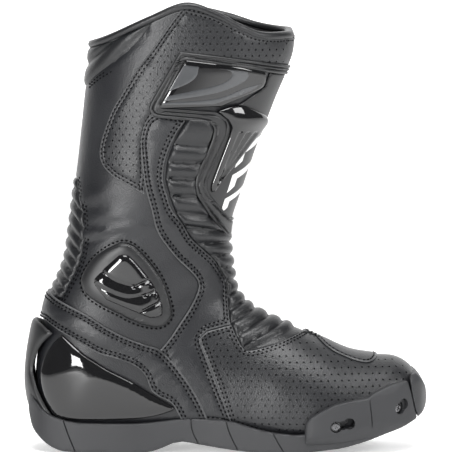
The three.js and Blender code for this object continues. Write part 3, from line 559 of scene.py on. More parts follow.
# --- Under-leather ----------------------------------------------------------------------
# Each side of the boot is one large piece of smooth leather, which shows behind the calf,
# round the ankle and at the heel. It creases over the ankle. The inner side is slit for the zip.
def closed_over(edge):
    """The same outline, less the points that fell past the front or back of the last."""
    turn = np.abs(np.sin(edge[:, 1]))
    return edge[turn > 0.02]


def both_sides(side_view, around=0.0):
    """An outline that runs on over the front line, or round the back line at minus pi."""
    outer = closed_over(on_last(side_view, -1))
    return np.vstack([outer, mirrored(outer, around)])


achilles_side = sketch(
    (-135, 214), [(-116.6, 211.9), (-113.8, 199.4), (-110.4, 188), (-109, 169), (-110.2, 155),
    (-114.5, 141.8),
    (-121, 128.9), (-126.5, 118)], (-150, 108), closed=False,
)
achilles_edge = both_sides(achilles_side, -math.pi)
gusset_side = sketch(
    (-130, 270), (-110.4, 279), [(-100, 289), (-91, 295), (-79.7, 303), (-68.4, 313),
    (-59.3, 324.5), (-54, 333)],
    lowered(COLLAR, RIM)[2::-1], closed=False,
)
gusset_edge = both_sides(gusset_side, -math.pi)
HOLLOW = 2.0  # how far the leather stands back under the stretch panels behind


def ankle_creases(made, distance):
    """Soft folds where the shaft leans over the foot, deepest behind the ankle."""
    p = bare(made)
    x, z = p[:, 0], p[:, 2]
    folds = 0.35 * np.sin(x / 17 + z / 23) * np.clip((z - 110) / 40, 0, 1)
    for height, slope, width, depth, left, right in (
        (170, 0.16, 3.2, 1.5, -116, -58),
        (179, -0.05, 4.0, 1.1, -108, -70),
        (163, 0.30, 3.0, 0.9, -96, -50),
        (198, 0.12, 6.0, 0.9, -118, -84),
    ):
        off = z - (height + slope * (x + 85) + 2 * np.sin((x + 20) / 13))
        reach = np.clip((x - left) / 14, 0, 1) * np.clip((right - x) / 14, 0, 1)
        fold = np.exp(-((off / width) ** 2)) - 0.8 * np.exp(-(((off + width) / width) ** 2))
        folds += 1.3 * reach * depth * fold
    turned = np.where(made[:, 1] > 0, made[:, 1] - 2 * math.pi, made[:, 1])
    behind = np.column_stack([made[:, 0], turned])
    for edge in (achilles_edge, gusset_edge):
        within = inside(behind * FLAT, edge * FLAT)
        folds -= within * HOLLOW * np.clip(to_edge(bare(behind), bare(edge)) / 3, 0, 1)
    return folds


BASE_LIFT = -0.9
ZIP_FOOT, ZIP_HEAD = (-42, 181), (-52, 268)
WINDOW = 5.2  # half width of the opening for the zip
under_collar = lowered(COLLAR, RIM)
under_inner = lowered(COLLAR_INNER, RIM)
whole_side = sketch(
    (-160, 52), SOLE_LINE[1:], (160, 60), (75, 100), (75, 320), under_collar[-2::-1], step=3
)


def upper(name, outline, side, roll, *nodes):
    """One large piece of the under-leather."""
    edge = on_last(outline, side)
    panel = lay(name, edge, BASE_LIFT, 1.3, step=4, roll=roll, shape=ankle_creases)
    put(panel, smooth_leather, "smooth_leather", None, *nodes)


upper("upper_outer", whole_side, -1, 0, "rear_panel", "quarter_outer", "ankle_panel_outer")

front_inner = sketch(
    (-36, 20), SOLE_LINE[7:], (160, 60), (75, 100), (75, 320), under_inner[-2:3:-1],
    (-52, 272), (-52 + WINDOW, 268), (-42 + WINDOW, 180), (-42, 176), step=3,
)
rear_inner = sketch(
    (-160, 52), SOLE_LINE[1:6], (-36.6, 20), (-42.6, 176), (-42 - WINDOW, 180), (-52 - WINDOW, 268),
    (-52.6, 272), (-31.6, 336), under_inner[2::-1], step=3,
)
upper("upper_inner_front", front_inner, 1, 0.5, "inner_panel_front", "quarter_inner")
upper("upper_inner_rear", rear_inner, 1, 0.5, "inner_panel_rear", "ankle_panel_inner")

# --- Perforated leather -----------------------------------------------------------------
# The calf panel and the vamp are punched with small staggered holes for air, over black
# foam, and are turned under at the edge and sewn down with two rows.
PUNCH = 0.82
PITCH = 5.3
# Its rolled edges get the same painted highlight.
punched_leather = leather("perforated_black_leather", (0.0095, 0.0100, 0.0115), 0.38, ROLLED_EDGE_HIGHLIGHT)


def punched(edge, margin, pitch=PITCH):
    """Holes in a staggered pattern inside an outline."""
    flat = edge * FLAT
    low, high = flat.min(0), flat.max(0)
    holes = []
    rim = bare(edge)
    centres = []
    for row, z in enumerate(np.arange(0, 345, pitch * 0.87)):
        for x in np.arange(-160, 160, pitch):
            centres.append((x + (pitch / 2 if row % 2 else 0), z))
    side = -1 if edge[:, 1].mean() < 0 else 1
    places = on_last(np.array(centres), side)
    places = places[np.abs(np.sin(places[:, 1])) > 0.35]
    places = places[inside(places * FLAT, flat)]
    return [(place, PUNCH) for place in places[to_edge(bare(places), rim) > margin]]


DOUBLE = (1.9, 4.4)  # two rows of stitches, this far in from an edge
calf = sketch(
    (-33.7, 340), [(-45.6, 324), (-57, 307.5), (-68.4, 292.6), (-79.7, 274.4), (-86.5, 263), (-92.2, 248.3),
    (-95.6, 236.9), (-96.2, 227.9), (-93.4, 219.9), (-85.4, 211.9), (-75.2, 206.2), (-62, 199)],
    [(-60, 215), (-60.5, 233), (-57, 252), (-50, 262)], (-50, 268), (-29, 302), (11, 296),
    (75, 286), (75, 322),
    lowered(COLLAR, 2)[-2:2:-1],
)
edge = on_last(calf, -1)
edge[:, 1] = np.where(edge[:, 1] > -0.02, 0.9, edge[:, 1])
calf_panel = lay("calf_panel", edge, 0.4, 2.0, holes=punched(edge, 6), seams=DOUBLE)
put(calf_panel, punched_leather, "perforated_leather", "shaft", "calf_panel")
stitch("calf_panel", edge, DOUBLE, 0.12, "shaft")

vamp_outer = sketch(
    (146, 30), [(122, 20), (100, 16)], [(60, 12.5), (36, 14), (4, 22)], [(-8.1, 56.6), (-17.4, 79.8)],
    [(-19.8, 87.6), (-14.3, 93)], (5, 97.7), (8, 90), [(13.6, 80.5), (19, 78.3), (38.4, 83)], (70, 95),
    closed=False,
)
outer = closed_over(on_last(vamp_outer, -1))
edge = np.vstack([[(-0.93, -2.6)], outer, mirrored(outer), [(-0.93, 2.6), (-0.93, 0.9), (-0.93, -0.9)]])
holes = []
for side in (-1, 1):
    half = outer if side < 0 else mirrored(outer)
    middle = np.array([(half[-1 if side < 0 else 0, 0], 0.0), (0.2, 0.0)])
    holes += punched(np.vstack([half, middle if side < 0 else middle[::-1]]), 7)
holes = [(place, radius) for place, radius in holes if place[0] > 0.6]
vamp = lay("punched_vamp", edge, 0.35, 2.0, holes=holes)
put(vamp, punched_leather, "perforated_leather", None, "vamp")
rows = [moved_in(edge, d) for d in DOUBLE]
rows = [np.array([p for p in row if p[0] > 4.6]) for row in rows]
for side in (-1, 1):
    kept = [row[row[:, 1] * side > 0] for row in rows]
    place = "outer" if side < 0 else "inner"
    stitches = sew(f"vamp_stitches_{place}", kept, 0.4, closed=False)
    put(stitches, thread, "smooth_leather")

# --- Side panel -------------------------------------------------------------------------
# One swept piece of smooth leather runs from beside the shin down over the instep to the
# sole on the outer side, double sewn along both edges.
side_outline = sketch(
    (-51, 262), [(-59.8, 256), (-64.5, 241.8), (-63.9, 227), (-61.5, 206.3), (-56.2, 186.2), (-53.5, 174),
    (-48.2, 163.7), (-37.4, 149.6), (-26.4, 138.7), (-21.2, 131.5), (-21, 124.5), (-26.4, 112.5),
    (-34.1, 100.6),
    (-42.8, 87.6), (-50.4, 78.8)], (-42, 60), (-18, 24), (6, 22), [(-8, 56.6), (-17.2, 80)],
    [(-19.6, 87.6), (-14.3, 93.6)], (3.5, 98), [(1.8, 115.8), (0.2, 130), (-2.6, 136.5), (-9, 147.3),
    (-16.7, 155), (-26.4, 164.8), (-33, 176.7)], [(-40.8, 187), (-44.6, 199), (-47.3, 209.3), (-46.7, 221.1),
    (-43.8, 231.2), (-37.8, 244.3), (-28, 258)],
)
edge = on_last(side_outline, -1)
side_panel = lay("side_panel", edge, 1.0, 1.3, seams=DOUBLE)
put(side_panel, smooth_leather, "smooth_leather", None, "side_panel")
stitch("side_panel", edge, DOUBLE, 0.95)

# --- Stretch panels ---------------------------------------------------------------------
# Padded accordion ribs let the boot bend: over the instep, behind the ankle, on the shin
# and at the back of the collar. Each rib is a tube of foam under soft leather.
ribbed_leather = leather("soft_ribbed_leather", (0.0075, 0.0079, 0.0090), 0.34, crease=0.1)


def ribs(lines, depth, fullness=2.4):
    """Rope-like ribs between listed crease lines, each given by two side-view points."""
    a = np.array([line[0] for line in lines], float)
    b = np.array([line[1] for line in lines], float)
    run = b - a
    run /= np.linalg.norm(run, axis=1, keepdims=True)
    last = (a[-1] + b[-1]) / 2 - a[0]
    run *= np.sign(run[0, 0] * last[1] - run[0, 1] * last[0])

    def height(made, distance):
        p = bare(made)[:, [0, 2]][:, None]
        off = p - a
        d = run[:, 0] * off[..., 1] - run[:, 1] * off[..., 0]
        found = np.clip((d > 0).sum(1) - 1, 0, len(a) - 2)
        rows = np.arange(len(p))
        here, there = d[rows, found], d[rows, found + 1]
        share = np.clip(here / np.where(np.abs(here - there) < 1e-6, 1e-6, here - there), 0, 1)
        puff = 1 - np.abs(2 * share - 1) ** fullness
        near = np.clip(distance / 4.5, 0, 1)
        return depth * puff * np.sqrt(1 - (1 - near) ** 2)

    return height


def stretch(name, edge, lift, lines, depth, body, *nodes, step=1.9):
    panel = lay(name, edge, lift, 1.2, step=step, roll=1.4, shape=ribs(lines, depth), crisp=70)
    return put(panel, ribbed_leather, "ribbed_stretch", body, *nodes)


INSTEP_CREASES = [
    ((55, 94.9), (25, 83)), ((46.5, 98.8), (15.1, 82.2)), ((36, 103.9), (8.1, 90)), ((25.2, 109.7),
    (3.5, 99)),
    ((17.4, 115.5), (2.6, 108)), ((11.2, 122.5), (1.5, 119)), ((6.2, 131), (0, 130)),
    ((7.9, 140.3), (-5, 141)),
    ((7.4, 150), (-12.5, 151)), ((5, 159.7), (-21, 160.5)), ((6, 169), (-30, 172)), ((9, 178), (-36, 181)),
]
bellows_side = sketch(
    (75, 99), (60, 90.7), [(38.4, 82.2), (19, 77.5), (13.6, 79.8), (8.9, 87.6)], [(3.5, 100.7), (1.8, 115.8),
    (0.2, 130), (-2.6, 136.5), (-9, 147.3), (-16.7, 155), (-26.4, 164.8), (-33, 176.7)],
    [(-14, 173), (12, 168)], closed=False,
)
edge = both_sides(bellows_side)
stretch("instep_bellows", edge, 0.1, INSTEP_CREASES, 2.9, None, "instep_bellows")

heel_creases = [((-150, z + 30), (-104, z - 25)) for z in np.arange(80, 280, 11)]
stretch("achilles_bellows", achilles_edge, -1.3, heel_creases, 2.5, None, "achilles_bellows")

flex_side = sketch(
    (-28, 258), [(-37, 244), (-42.4, 231), (-45, 221), (-45.7, 209.3), (-43, 199), (-39, 187), (-33, 176)],
    [(-15, 172), (0, 168)], [(-12, 182), (-22, 200), (-21, 213), (-13, 233), (-9, 248)], (-12, 257),
)
flex_creases = [((-45, 186), (0, 180)), ((-45, 198.5), (0, 195)), ((-45, 211.5), (0, 208)),
    ((-45, 224), (0, 221)), ((-45, 237.5), (0, 234)), ((-45, 262), (0, 262))]
flex_creases = [((b[0], b[1]), (a[0], a[1])) for a, b in [((-45, 170), (0, 166))] + flex_creases]
seams = [on_last(through([(-42 + k, b[1]), (-13 - k, a[1])], 2), -1)
    for k, (a, b) in zip((3, 0, -1, 0, 3), flex_creases[1:-1])]
put(sew("shin_flex_stitches", seams, 0.35, closed=False), thread, "smooth_leather", "shaft")
stretch("shin_flex_panel", on_last(flex_side, -1), 0.3, flex_creases, 3.7, "shaft", "shin_flex_panel")

gusset_creases = [((-52, 372), (-112, 318)), ((-52, 358), (-112, 306)), ((-52, 346), (-112, 293)),
    ((-52, 334), (-112, 276))]
stretch("calf_gusset", gusset_edge, -1.4, gusset_creases, 2.4, "shaft", "calf_gusset")

rows = []
for edge in (achilles_edge, gusset_edge):
    for gap in (2.0, 4.4):
        row = moved_in(edge, -gap)
        for part in (row[row[:, 1] > -2.85], row[row[:, 1] < -3.43]):
            rows.append(part[part[:, 0] < 25.0])
rows = [row for row in rows if len(row) > 4]
put(sew("calf_stitches", rows, -0.8, closed=False), thread, "smooth_leather")

# --- Heel strap and shift pad -----------------------------------------------------------
# A leather strap is sewn round the back of the heel down to the sole on both sides. A smooth
# patch on top of the toes takes the wear of the gear lever.
strap_side = sketch(
    (-160, 127), [(-140.7, 125.6), (-129.8, 118), (-119, 112.5), (-105.8, 106), (-90.6, 96.3), (-75.4, 88.6),
    (-61.2, 83.2), (-51.5, 79.9), (-42.8, 72.3), (-32, 59.3), (-21, 41.9), (-12, 23)], (-32, 22),
    [(-40.7, 37.5), (-50.4, 43), (-57, 48.4), (-61.2, 59.3), (-69, 66.9), (-82, 72.3), (-97, 76.7),
    (-110.2, 84.2), (-132, 96.3), (-144.5, 106.2)], (-160, 112), closed=False,
)
edge = both_sides(strap_side, -math.pi)
strap = lay("heel_strap", edge, 2.0, 1.5, seams=DOUBLE)
put(strap, smooth_leather, "smooth_leather", None, "heel_strap")
stitch("heel_strap", edge, DOUBLE, 1.95)

pad_side = sketch(
    (60, 90), [(68.4, 87.6), (78, 79.5), (88, 73.6), (102.7, 68.2), (113, 68), (122, 75)], closed=False
)
edge = both_sides(pad_side)
pad = lay("shift_pad", edge, 1.9, 1.5, seams=(1.6,))
put(pad, smooth_leather, "smooth_leather", None, "shift_pad")
stitch("shift_pad", edge, (1.6,), 1.7)

# --- Heel guards ------------------------------------------------------------------------
# Glossy moulded cups on both sides of the heel, with a matte spine between them behind, all
# screwed from inside to the heel counter.
def plastic(name, color, rough, coat=0.0, grain=0.0):
    made, shader = material(name, color, rough)
    where = on_piece(made)
    tone, drift = mottled(made, where, color, 0.08, 35.0)
    made.node_tree.links.new(tone, shader.inputs["Base Color"])
    made.node_tree.links.new(ranged(made, drift, rough * 0.85, rough * 1.2), shader.inputs["Roughness"])
    shader.inputs["Coat Weight"].default_value = coat
    shader.inputs["Coat Roughness"].default_value = 0.03
    fine = node(made, "ShaderNodeTexNoise", {"Vector": where, "Scale": 1800.0})
    wave = node(made, "ShaderNodeTexNoise", {"Vector": where, "Scale": 40.0})
    bumped(made, shader, (fine.outputs["Fac"], wave.outputs["Fac"]), (0.0001, 0.0006), (grain, 0.08))
    return made


gloss_plastic = plastic("gloss_black_guard", (0.0040, 0.0040, 0.0045), 0.06, 0.3)
matte_plastic = plastic("matte_black_guard", (0.0070, 0.0072, 0.0080), 0.4, 0.0, 0.4)


def domed(rise, reach):
    """Rises from the edge in a quarter circle and then flattens."""
    return lambda made, distance: rise * np.sqrt(1 - (1 - np.clip(distance / reach, 0, 1)) ** 2)


cup_side = sketch(
    (-126, 90.8), (-108, 75.6), (-90.6, 64.7), (-73.2, 56), (-58, 46.2), (-39.5, 35.3),
    [(-40.5, 33), (-53.6, 28.8), (-71, 26.4), (-102.7, 25.5), (-129.8, 26)],
    [(-136.3, 39.7), (-139.6, 51.6), (-140, 62.5), (-137.4, 73.4), (-131.9, 84.2)], step=1.2,
)
CUP_MIDDLE = 50.0  # the height at which a cup stands out furthest
CUP_BOW = 0.0022  # how fast it falls back above and below


def cup_shape(made, distance):
    return domed(1.8, 9)(made, distance) - CUP_BOW * (bare(made)[:, 2] - CUP_MIDDLE) ** 2


for side, place in ((-1, "outer"), (1, "inner")):
    edge = on_last(cup_side, side)
    cup = lay(f"heel_cup_{place}", edge, 3.0, 2.0, roll=0.8, step=2, shape=cup_shape, crisp=60)
    put(cup, gloss_plastic, "gloss_guard", "foot", f"heel_cup_{place}")

spine_side = sketch(
    (-165, 104), [(-148.3, 103.8), (-139, 97.5), (-131.5, 90.8)], [(-139.6, 81), (-143.9, 70.1),
    (-145, 59.3),
    (-141.7, 46.2), (-135.2, 33.2), (-128, 24)], (-150, 24), (-165, 40), closed=False,
)
edge = both_sides(spine_side, -math.pi)


def spine_shape(made, distance):
    """Stands proudest along the line of the heel."""
    back = np.exp(-(((made[:, 1] + math.pi) / 0.75) ** 2))
    return 4.6 * back + 1.6 * np.sqrt(1 - (1 - np.clip(distance / 7, 0, 1)) ** 2)


spine = lay("heel_spine", edge, 1.7, 2.0, roll=1.4, step=3, shape=spine_shape)
put(spine, matte_plastic, "matte_guard", "foot", "heel_spine")

# --- Ankle guards -----------------------------------------------------------------------
# Over each ankle bone a padded ring is sewn into the leather, with a glossy moulded cap in
# the middle. The cap has two long steps and three short louvres.
guard_side = sketch(
    (-80.8, 162), [(-92.8, 156), (-102.7, 147.3), (-109.2, 137), (-110.2, 129.5), (-105.8, 121.2),
    (-95, 113.6),
    (-81.9, 107.1), (-68.9, 100.6), (-55.8, 96.9), (-47.1, 97.9), (-41.7, 103.9), (-41.2, 111.4),
    (-46.1, 127.9),
    (-53.6, 141.9), (-64.6, 155), (-73, 161.4), (-80.8, 162)], closed=False,
)[:-1]
cap_side = sketch(
    (-80.8, 152.8), [(-91, 143), (-99.0, 133.8), (-99.3, 128.9), (-90.6, 118)], [(-75.4, 111.4), (-58, 104)],
    [(-50.5, 105), (-48.6, 110), (-50.4, 120), (-58, 134.3), (-68.9, 148.4), (-75, 153.2), (-80.8, 152.8)],
    step=1.1, closed=False,
)[:-1]
CAP_STEPS = (
    through([(-92.8, 139.7), (-84.1, 133.2), (-75.4, 130), (-68.9, 128.9)], 1.5),
    through([(-99.3, 132.1), (-90.6, 125.6), (-75.4, 120.1), (-61.2, 122.3)], 1.5),
)
CAP_LOUVRES = (((-70, 128.5), (-59, 133.6)), ((-62, 121.8), (-52, 126.3)), ((-64, 110), (-50.4, 117.2)))


def along(points, line):
    """Distance from side-view points to an open line, and the height above it."""
    best, above = np.full(len(points), 1e9), np.zeros(len(points))
    for a, b in zip(line, line[1:]):
        a, b = np.asarray(a, float), np.asarray(b, float)
        t = np.clip(((points - a) @ (b - a)) / ((b - a) @ (b - a)), 0, 1)
        gap = points - (a + t[:, None] * (b - a))
        d = np.linalg.norm(gap, axis=1)
        above = np.where(d < best, gap[:, 1], above)
        best = np.minimum(best, d)
    return best, above


def cap_shape(made, distance):
    p = bare(made)[:, [0, 2]]
    height = domed(3.0, 6)(made, distance)
    for line in CAP_STEPS:
        d, above = along(p, line)
        height = height - 1.6 * np.where(above < 0, np.exp(-d / 4), np.exp(-((d / 1.0) ** 2)))
    for line in CAP_LOUVRES:
        d, _ = along(p, line)
        height = height - 1.7 * np.exp(-((d / 1.3) ** 2))
    return height


for side, place in ((-1, "outer"), (1, "inner")):
    edge = on_last(guard_side, side)
    name = f"ankle_guard_{place}"
    guard = lay(name, edge, 0.6, 1.4, step=2.4, roll=1.2, seams=(1.6,), shape=domed(3.4, 8))
    put(guard, matte_plastic, "matte_guard", "foot", name)
    stitch(name, edge, (-1.5,), -0.2, "foot")
    name = f"ankle_cap_{place}"
    edge = on_last(cap_side, side)
    cap = lay(name, edge, 4.0, 2.0, step=0.9, roll=0.9, shape=cap_shape, crisp=75)
    put(cap, gloss_plastic, "gloss_guard", "foot", name)

# --- Shin armour ------------------------------------------------------------------------
# A matte plate over the shin, a glossy striped insert at the top of it, a glossy air scoop
# and a ridged frame that runs round them, all moulded and sewn to the shaft.
def wrapped(outline, over=0.9):
    """Places of an outline on the outer side that runs on past the front line."""
    places = on_last(outline, -1)
    places[:, 1] = np.where(places[:, 1] > -0.02, over, places[:, 1])
    return places


plate_side = sketch(
    (-4, 262), (12, 268), (30, 280), (34, 291), (75, 287), (75, 168), (3, 168),
    [(-8, 184.6), (-15, 200), (-15, 213), (-6, 233)], (-1, 247), step=3,
)
plate = lay("shin_plate", wrapped(plate_side, 1.0), 1.1, 1.6, roll=0.8, step=3.4)
put(plate, matte_plastic, "matte_guard", "shaft", "shin_plate")

frame_outline = sketch(
    (-34.5, 307.5), [(-56.5, 269)], [(-57.8, 264), (-55, 259.2), (-50, 257.2)], (-20, 254.5),
    [(-12.5, 252.8),
    (-9.5, 248.5), (-10.5, 241)], [(-14, 232), (-22, 214), (-22.8, 200), (-13, 182.5)], (1, 163), (12, 168),
    [(-3.5, 187), (-13.6, 201), (-13.2, 212), (-3.5, 233)], [(2.2, 247), (1, 256), (-7, 261.5),
    (-18, 262.5)],
    (-48, 265), (-30.5, 301), (11.2, 295), (75, 286), (75, 294), (11.2, 302),
)


RIDGES = (2.6,)  # the grooves between the ridges, this far from the band's edge


def ridged(made, distance):
    return -0.7 * sum(np.exp(-(((distance - at) / 0.5) ** 2)) for at in RIDGES)


edge = wrapped(frame_outline, 0.9)
frame_band = lay(
    "shin_frame", edge, 2.6, 1.8, step=1.4, roll=0.9, seams=RIDGES, shape=ridged, crisp=75
)
put(frame_band, matte_plastic, "matte_guard", "shaft", "shin_frame")

insert_side = sketch(
    (-30.5, 301.5), (-50.5, 266), (-48, 264.6), (-4.3, 266), [(18.4, 276.2), (27.5, 282),
    (29.8, 292)], (11.2, 296.5),
)
insert = lay("shin_insert", on_last(insert_side, -1), 3.0, 1.8, step=2.0, roll=0.9, shape=domed(1.0, 8))
insert_gloss = plastic("gloss_black_stripe", (0.003, 0.003, 0.0035), 0.05, 0.4)
stripe_grey = plastic("satin_grey_stripe", (0.038, 0.040, 0.043), 0.25, 0.3)
put(insert, insert_gloss, "gloss_guard", "shaft", "shin_insert")
for number, outline in enumerate(
    (
        sketch((-31.5, 297.5), (-43, 277.5), [(-29, 283.5), (-22.5, 289), (-20.5, 296.3)]),
        sketch((-6, 294.8), [(3, 293), (2, 287.5), (-9, 282), (-44, 273.8)], (-46.5, 270),
        [(-10, 276.2), (10, 284),
            (16, 290), (15, 292.8)]),
        sketch((-48.5, 267.6), (-10, 268), [(14, 277), (25, 284)], [(13, 280.5), (-8, 272.4), (-47, 268.8)]),
    )
):
    stripe = lay(f"shin_insert_stripe_{number + 1}", on_last(outline, -1), 4.25, 0.5, step=3, roll=0.15)
    put(stripe, stripe_grey, "gloss_guard", "shaft")

vent_side = sketch(
    (-7, 262.6), [(2, 266), (12, 267), (24, 262), (29.5, 258), (29, 253)], (24.2, 244.9), (-4.3, 207.7),
    [(-9, 201), (-11.5, 200.4), (-11.6, 206), (-9.2, 213)], (2.2, 243), [(3.4, 250), (0.5, 256),
    (-7, 262.6)][:-1],
)


def vent_shape(made, distance):
    """A domed hood above, and three long grooves that draw together towards the tip."""
    p = bare(made)[:, [0, 2]]
    height = domed(1.8, 6)(made, distance)
    hood = np.exp(-(((p[:, 0] - 13) / 15) ** 2 + ((p[:, 1] - 256) / 7.5) ** 2))
    height += 3.4 * hood
    for x in (9.0, 14.5, 20.0):
        d, _ = along(p, [(x, 246), (-6.5, 208)])
        height -= 1.5 * np.exp(-((d / 0.9) ** 2))
    return height


vent = lay("shin_vent", on_last(vent_side, -1), 2.2, 1.8, step=1.1, roll=0.8, shape=vent_shape, crisp=75)
put(vent, gloss_plastic, "gloss_guard", "shaft", "shin_vent")

white, _ = material("white_print", (0.75, 0.75, 0.74), 0.4)
for number, start in enumerate((19.2, 20.3, 21.4)):
    bar = sketch(
        (start, -0.6), (start + 0.8, -0.6), (start + 1.7, 0.3), (start + 1.4, 0.3), (start + 0.6, -0.48),
        (start + 0.25, -0.48), step=0.12,
    )
    mark = lay(f"shin_mark_{number + 1}", bar, 1.35, 0.4, step=3, roll=0.05)
    put(mark, white, "matte_guard", "shaft")

# --- Collar -----------------------------------------------------------------------------
# A foam roll bound in soft leather runs round the top edge. The binding is sewn down over the
# ends of the upper and the lining, and rides with the shaft.
outer = on_last(through(lowered(COLLAR, RIM / 2), 3.0), -1)
inner = on_last(through(lowered(COLLAR_INNER, RIM / 2), 3.0), 1)
outer, inner = closed_over(outer), closed_over(inner)
ring = np.vstack([outer, inner[::-1]])
seat = bare(ring)
out_way = tangents(ring)[2]
out_way[:, 2] = 0
out_way /= np.linalg.norm(out_way, axis=1, keepdims=True)
points, faces = [], []
PROFILE = 12
for k in range(PROFILE):
    turn = 2 * math.pi * k / PROFILE
    across = -2.2 + 3.7 * np.sign(math.cos(turn)) * abs(math.cos(turn)) ** 0.8
    rise = 3.2 * math.sin(turn)
    points.append(seat + out_way * across + np.array([0, 0, rise]))
points = np.vstack(points)
count = len(ring)
for k in range(PROFILE):
    for j in range(count):
        a, b = k * count + j, k * count + (j + 1) % count
        c = (k + 1) % PROFILE * count
        faces.append((a, b, c + (j + 1) % count, c + j))
collar = outward(mesh_object("collar_binding", points, faces))
smooth(collar, 60)
put(collar, ribbed_leather, "smooth_leather", "shaft", "collar_binding")

# --- Zip --------------------------------------------------------------------------------
# A coil zip in woven tape lets the foot in on the inner side. Its tapes are sewn behind the
# edges of the slit, its teeth run between them, and a gusset lies behind.
tape, tape_shader = material("zip_tape", (0.016, 0.016, 0.017), 0.75)
woven = {"Vector": on_piece(tape), "Scale": 700.0}
weave = node(tape, "ShaderNodeTexWave", woven, bands_direction="Z")
bumped(tape, tape_shader, (weave.outputs["Fac"],), (0.0002,), (0.6,))
zip_metal, metal_shader = material("zip_metal", (0.09, 0.09, 0.095), 0.3, 0.9)


def scuffed(made, shader, scale, low, high):
    """Metal rubbed brighter in places."""
    wear = node(made, "ShaderNodeTexNoise", {"Vector": on_piece(made), "Scale": scale})
    rough = ranged(made, wear.outputs["Fac"], low, high)
    made.node_tree.links.new(rough, shader.inputs["Roughness"])


scuffed(zip_metal, metal_shader, 300.0, 0.22, 0.42)
for place, side in (("front", 1), ("rear", -1)):
    near, far = side * 0.3, side * 12
    strip = sketch((-42 + near, 180), (-42 + far, 180), (-52 + far, 268), (-52 + near, 268), step=4)
    tape_piece = lay(f"zip_tape_{place}", on_last(strip, 1), -1.9, 0.7, roll=0)
    put(tape_piece, tape, "zip_tape", "shaft", f"zip_tape_{place}")

TOOTH = 1.9
teeth = []
zip_length = math.dist(ZIP_FOOT, ZIP_HEAD)
for k in range(int(zip_length / TOOTH)):
    t = (k + 0.5) * TOOTH / zip_length
    x = ZIP_FOOT[0] + (ZIP_HEAD[0] - ZIP_FOOT[0]) * t
    z = ZIP_FOOT[1] + (ZIP_HEAD[1] - ZIP_FOOT[1]) * t
    teeth.append(on_last([(x - 2.4, z - 0.3), (x + 2.4, z + 0.3)], 1))
teeth_piece = sew("zip_teeth", teeth, -1.1, length=4.2, gap=0.1, radius=0.75, closed=False)
put(teeth_piece, tape, "zip_tape", "shaft", "zip_teeth")

# --- Flap -------------------------------------------------------------------------------
# A leather flap folds over the top end of the zip and holds with hook and loop. It is sewn
# along its rear edge, which it swings on.
flap_side = sketch((-68, 274), (-24, 278), [(-16, 288), (-16, 306), (-25, 316)], (-68, 318), step=2.5)
edge = on_last(flap_side, 1)
flap = lay("closure_flap", edge, 4.1, 1.9, step=3.5, seams=(2.0,))
put(flap, smooth_leather, "smooth_leather", "flap", "closure_flap")
stitch("closure_flap", edge, (2.0,), 3.9, "flap")

# --- Sole -------------------------------------------------------------------------------
# A moulded rubber cup sole, cemented round the foot of the upper. Grooves run up its sides,
# its tread is cut in chevrons, and it rises to an arch under the instep.
rubber = plastic("sole_rubber", (0.0165, 0.0170, 0.0190), 0.55, 0.0, 0.6)


def slab(name, outline, low, high, axis):
    """A flat shape swept straight: an outline in X and Z along Y, or in X and Y along Z."""
    points = []
    for level in (low, high):
        for a, b in outline:
            points.append((a, level, b) if axis == "Y" else (a, b, level))
    n = len(outline)
    faces = [tuple(range(n)), tuple(range(2 * n - 1, n - 1, -1))]
    faces += [(k, (k + 1) % n, (k + 1) % n + n, k + n) for k in range(n)]
    return outward(mesh_object(name, points, faces))


def rounded(obj, grain, passes):
    """Softens every edge, as of a moulding."""
    modify(obj, "REMESH", mode="VOXEL", voxel_size=grain * MM)
    modify(obj, "SMOOTH", factor=0.5, iterations=passes)


def cut(obj, tool, how="DIFFERENCE"):
    modify(obj, "BOOLEAN", object=tool, operation=how, solver="EXACT")
    bpy.data.objects.remove(tool, do_unlink=True)


def core(name, lift, low=0, high=16, steps=60, around=64):
    """The last itself as a solid, to hollow out what stands against it."""
    s = np.concatenate([[-0.98, -0.9, -0.7, -0.4], np.linspace(low, high, steps)])
    angle = np.arange(around) * 2 * math.pi / around
    places = np.stack(np.meshgrid(s, angle, indexing="ij"), -1)
    points = lifted(places.reshape(-1, 2), lift)
    faces = []
    for i in range(len(s) - 1):
        for j in range(around):
            a, b = i * around + j, i * around + (j + 1) % around
            faces.append((a, b, b + around, a + around))
    faces.append(tuple(range(around))[::-1])
    faces.append(tuple((len(s) - 1) * around + j for j in range(around)))
    return outward(mesh_object(name, points, faces))


sole_side = sketch(
    (-151.5, 52.7), [(-149, 44), (-143.5, 35.6), (-135.5, 29), (-126, 25.8), (-115, 23.4),
    (-88, 22.6), (-64, 23),
    (-35, 26.2), (-27, 26.6), (-12.8, 26.2), (4.6, 24.6), (20.4, 19.9), (36.2, 16.3), (48, 15.1), (60, 14.9),
    (100, 22), (147.6, 30)], (147.6, 25.3), [(135, 18.8), (122, 14.3), (109, 9.8), (90, 4.6),
    (77, 2.8), (58, 0.5),
    (37, 0), (25, 0.5), (10, 2), (-5, 4), (-20, 6.5), (-33, 8.6), (-40, 7.5), (-48, 4), (-55, 1.5),
    (-62, 0)],
    (-115, 0), [(-128, 1.5), (-137.6, 6.2), (-144.5, 12.4), (-149.2, 18.6), (-152.3, 31)], step=5,
)
sole_plan = sketch(
    (-154.5, 0), [(-152, -17), (-141, -33), (-118, -41), (-85, -43.5), (-50, -43), (-20, -44), (10, -47.5),
    (40, -50.5), (62, -51.5), (90, -51.5), (112, -47.5), (130, -39), (143, -28), (149, -16), (151.5, 5),
    (149.5, 22), (145.5, 33), (137, 42), (122, 47.5), (100, 50), (75, 50.5), (45, 47.5),
    (10, 42.5), (-20, 40),
    (-50, 40.5), (-85, 42), (-118, 40.5), (-141, 32), (-152, 17), (-154.5, 0)], closed=False, step=5,
)[:-1]
sole = slab("rubber_outsole", sole_side, -90, 90, "Y")
cut(sole, slab("plan", sole_plan, -5, 70, "Z"), "INTERSECT")
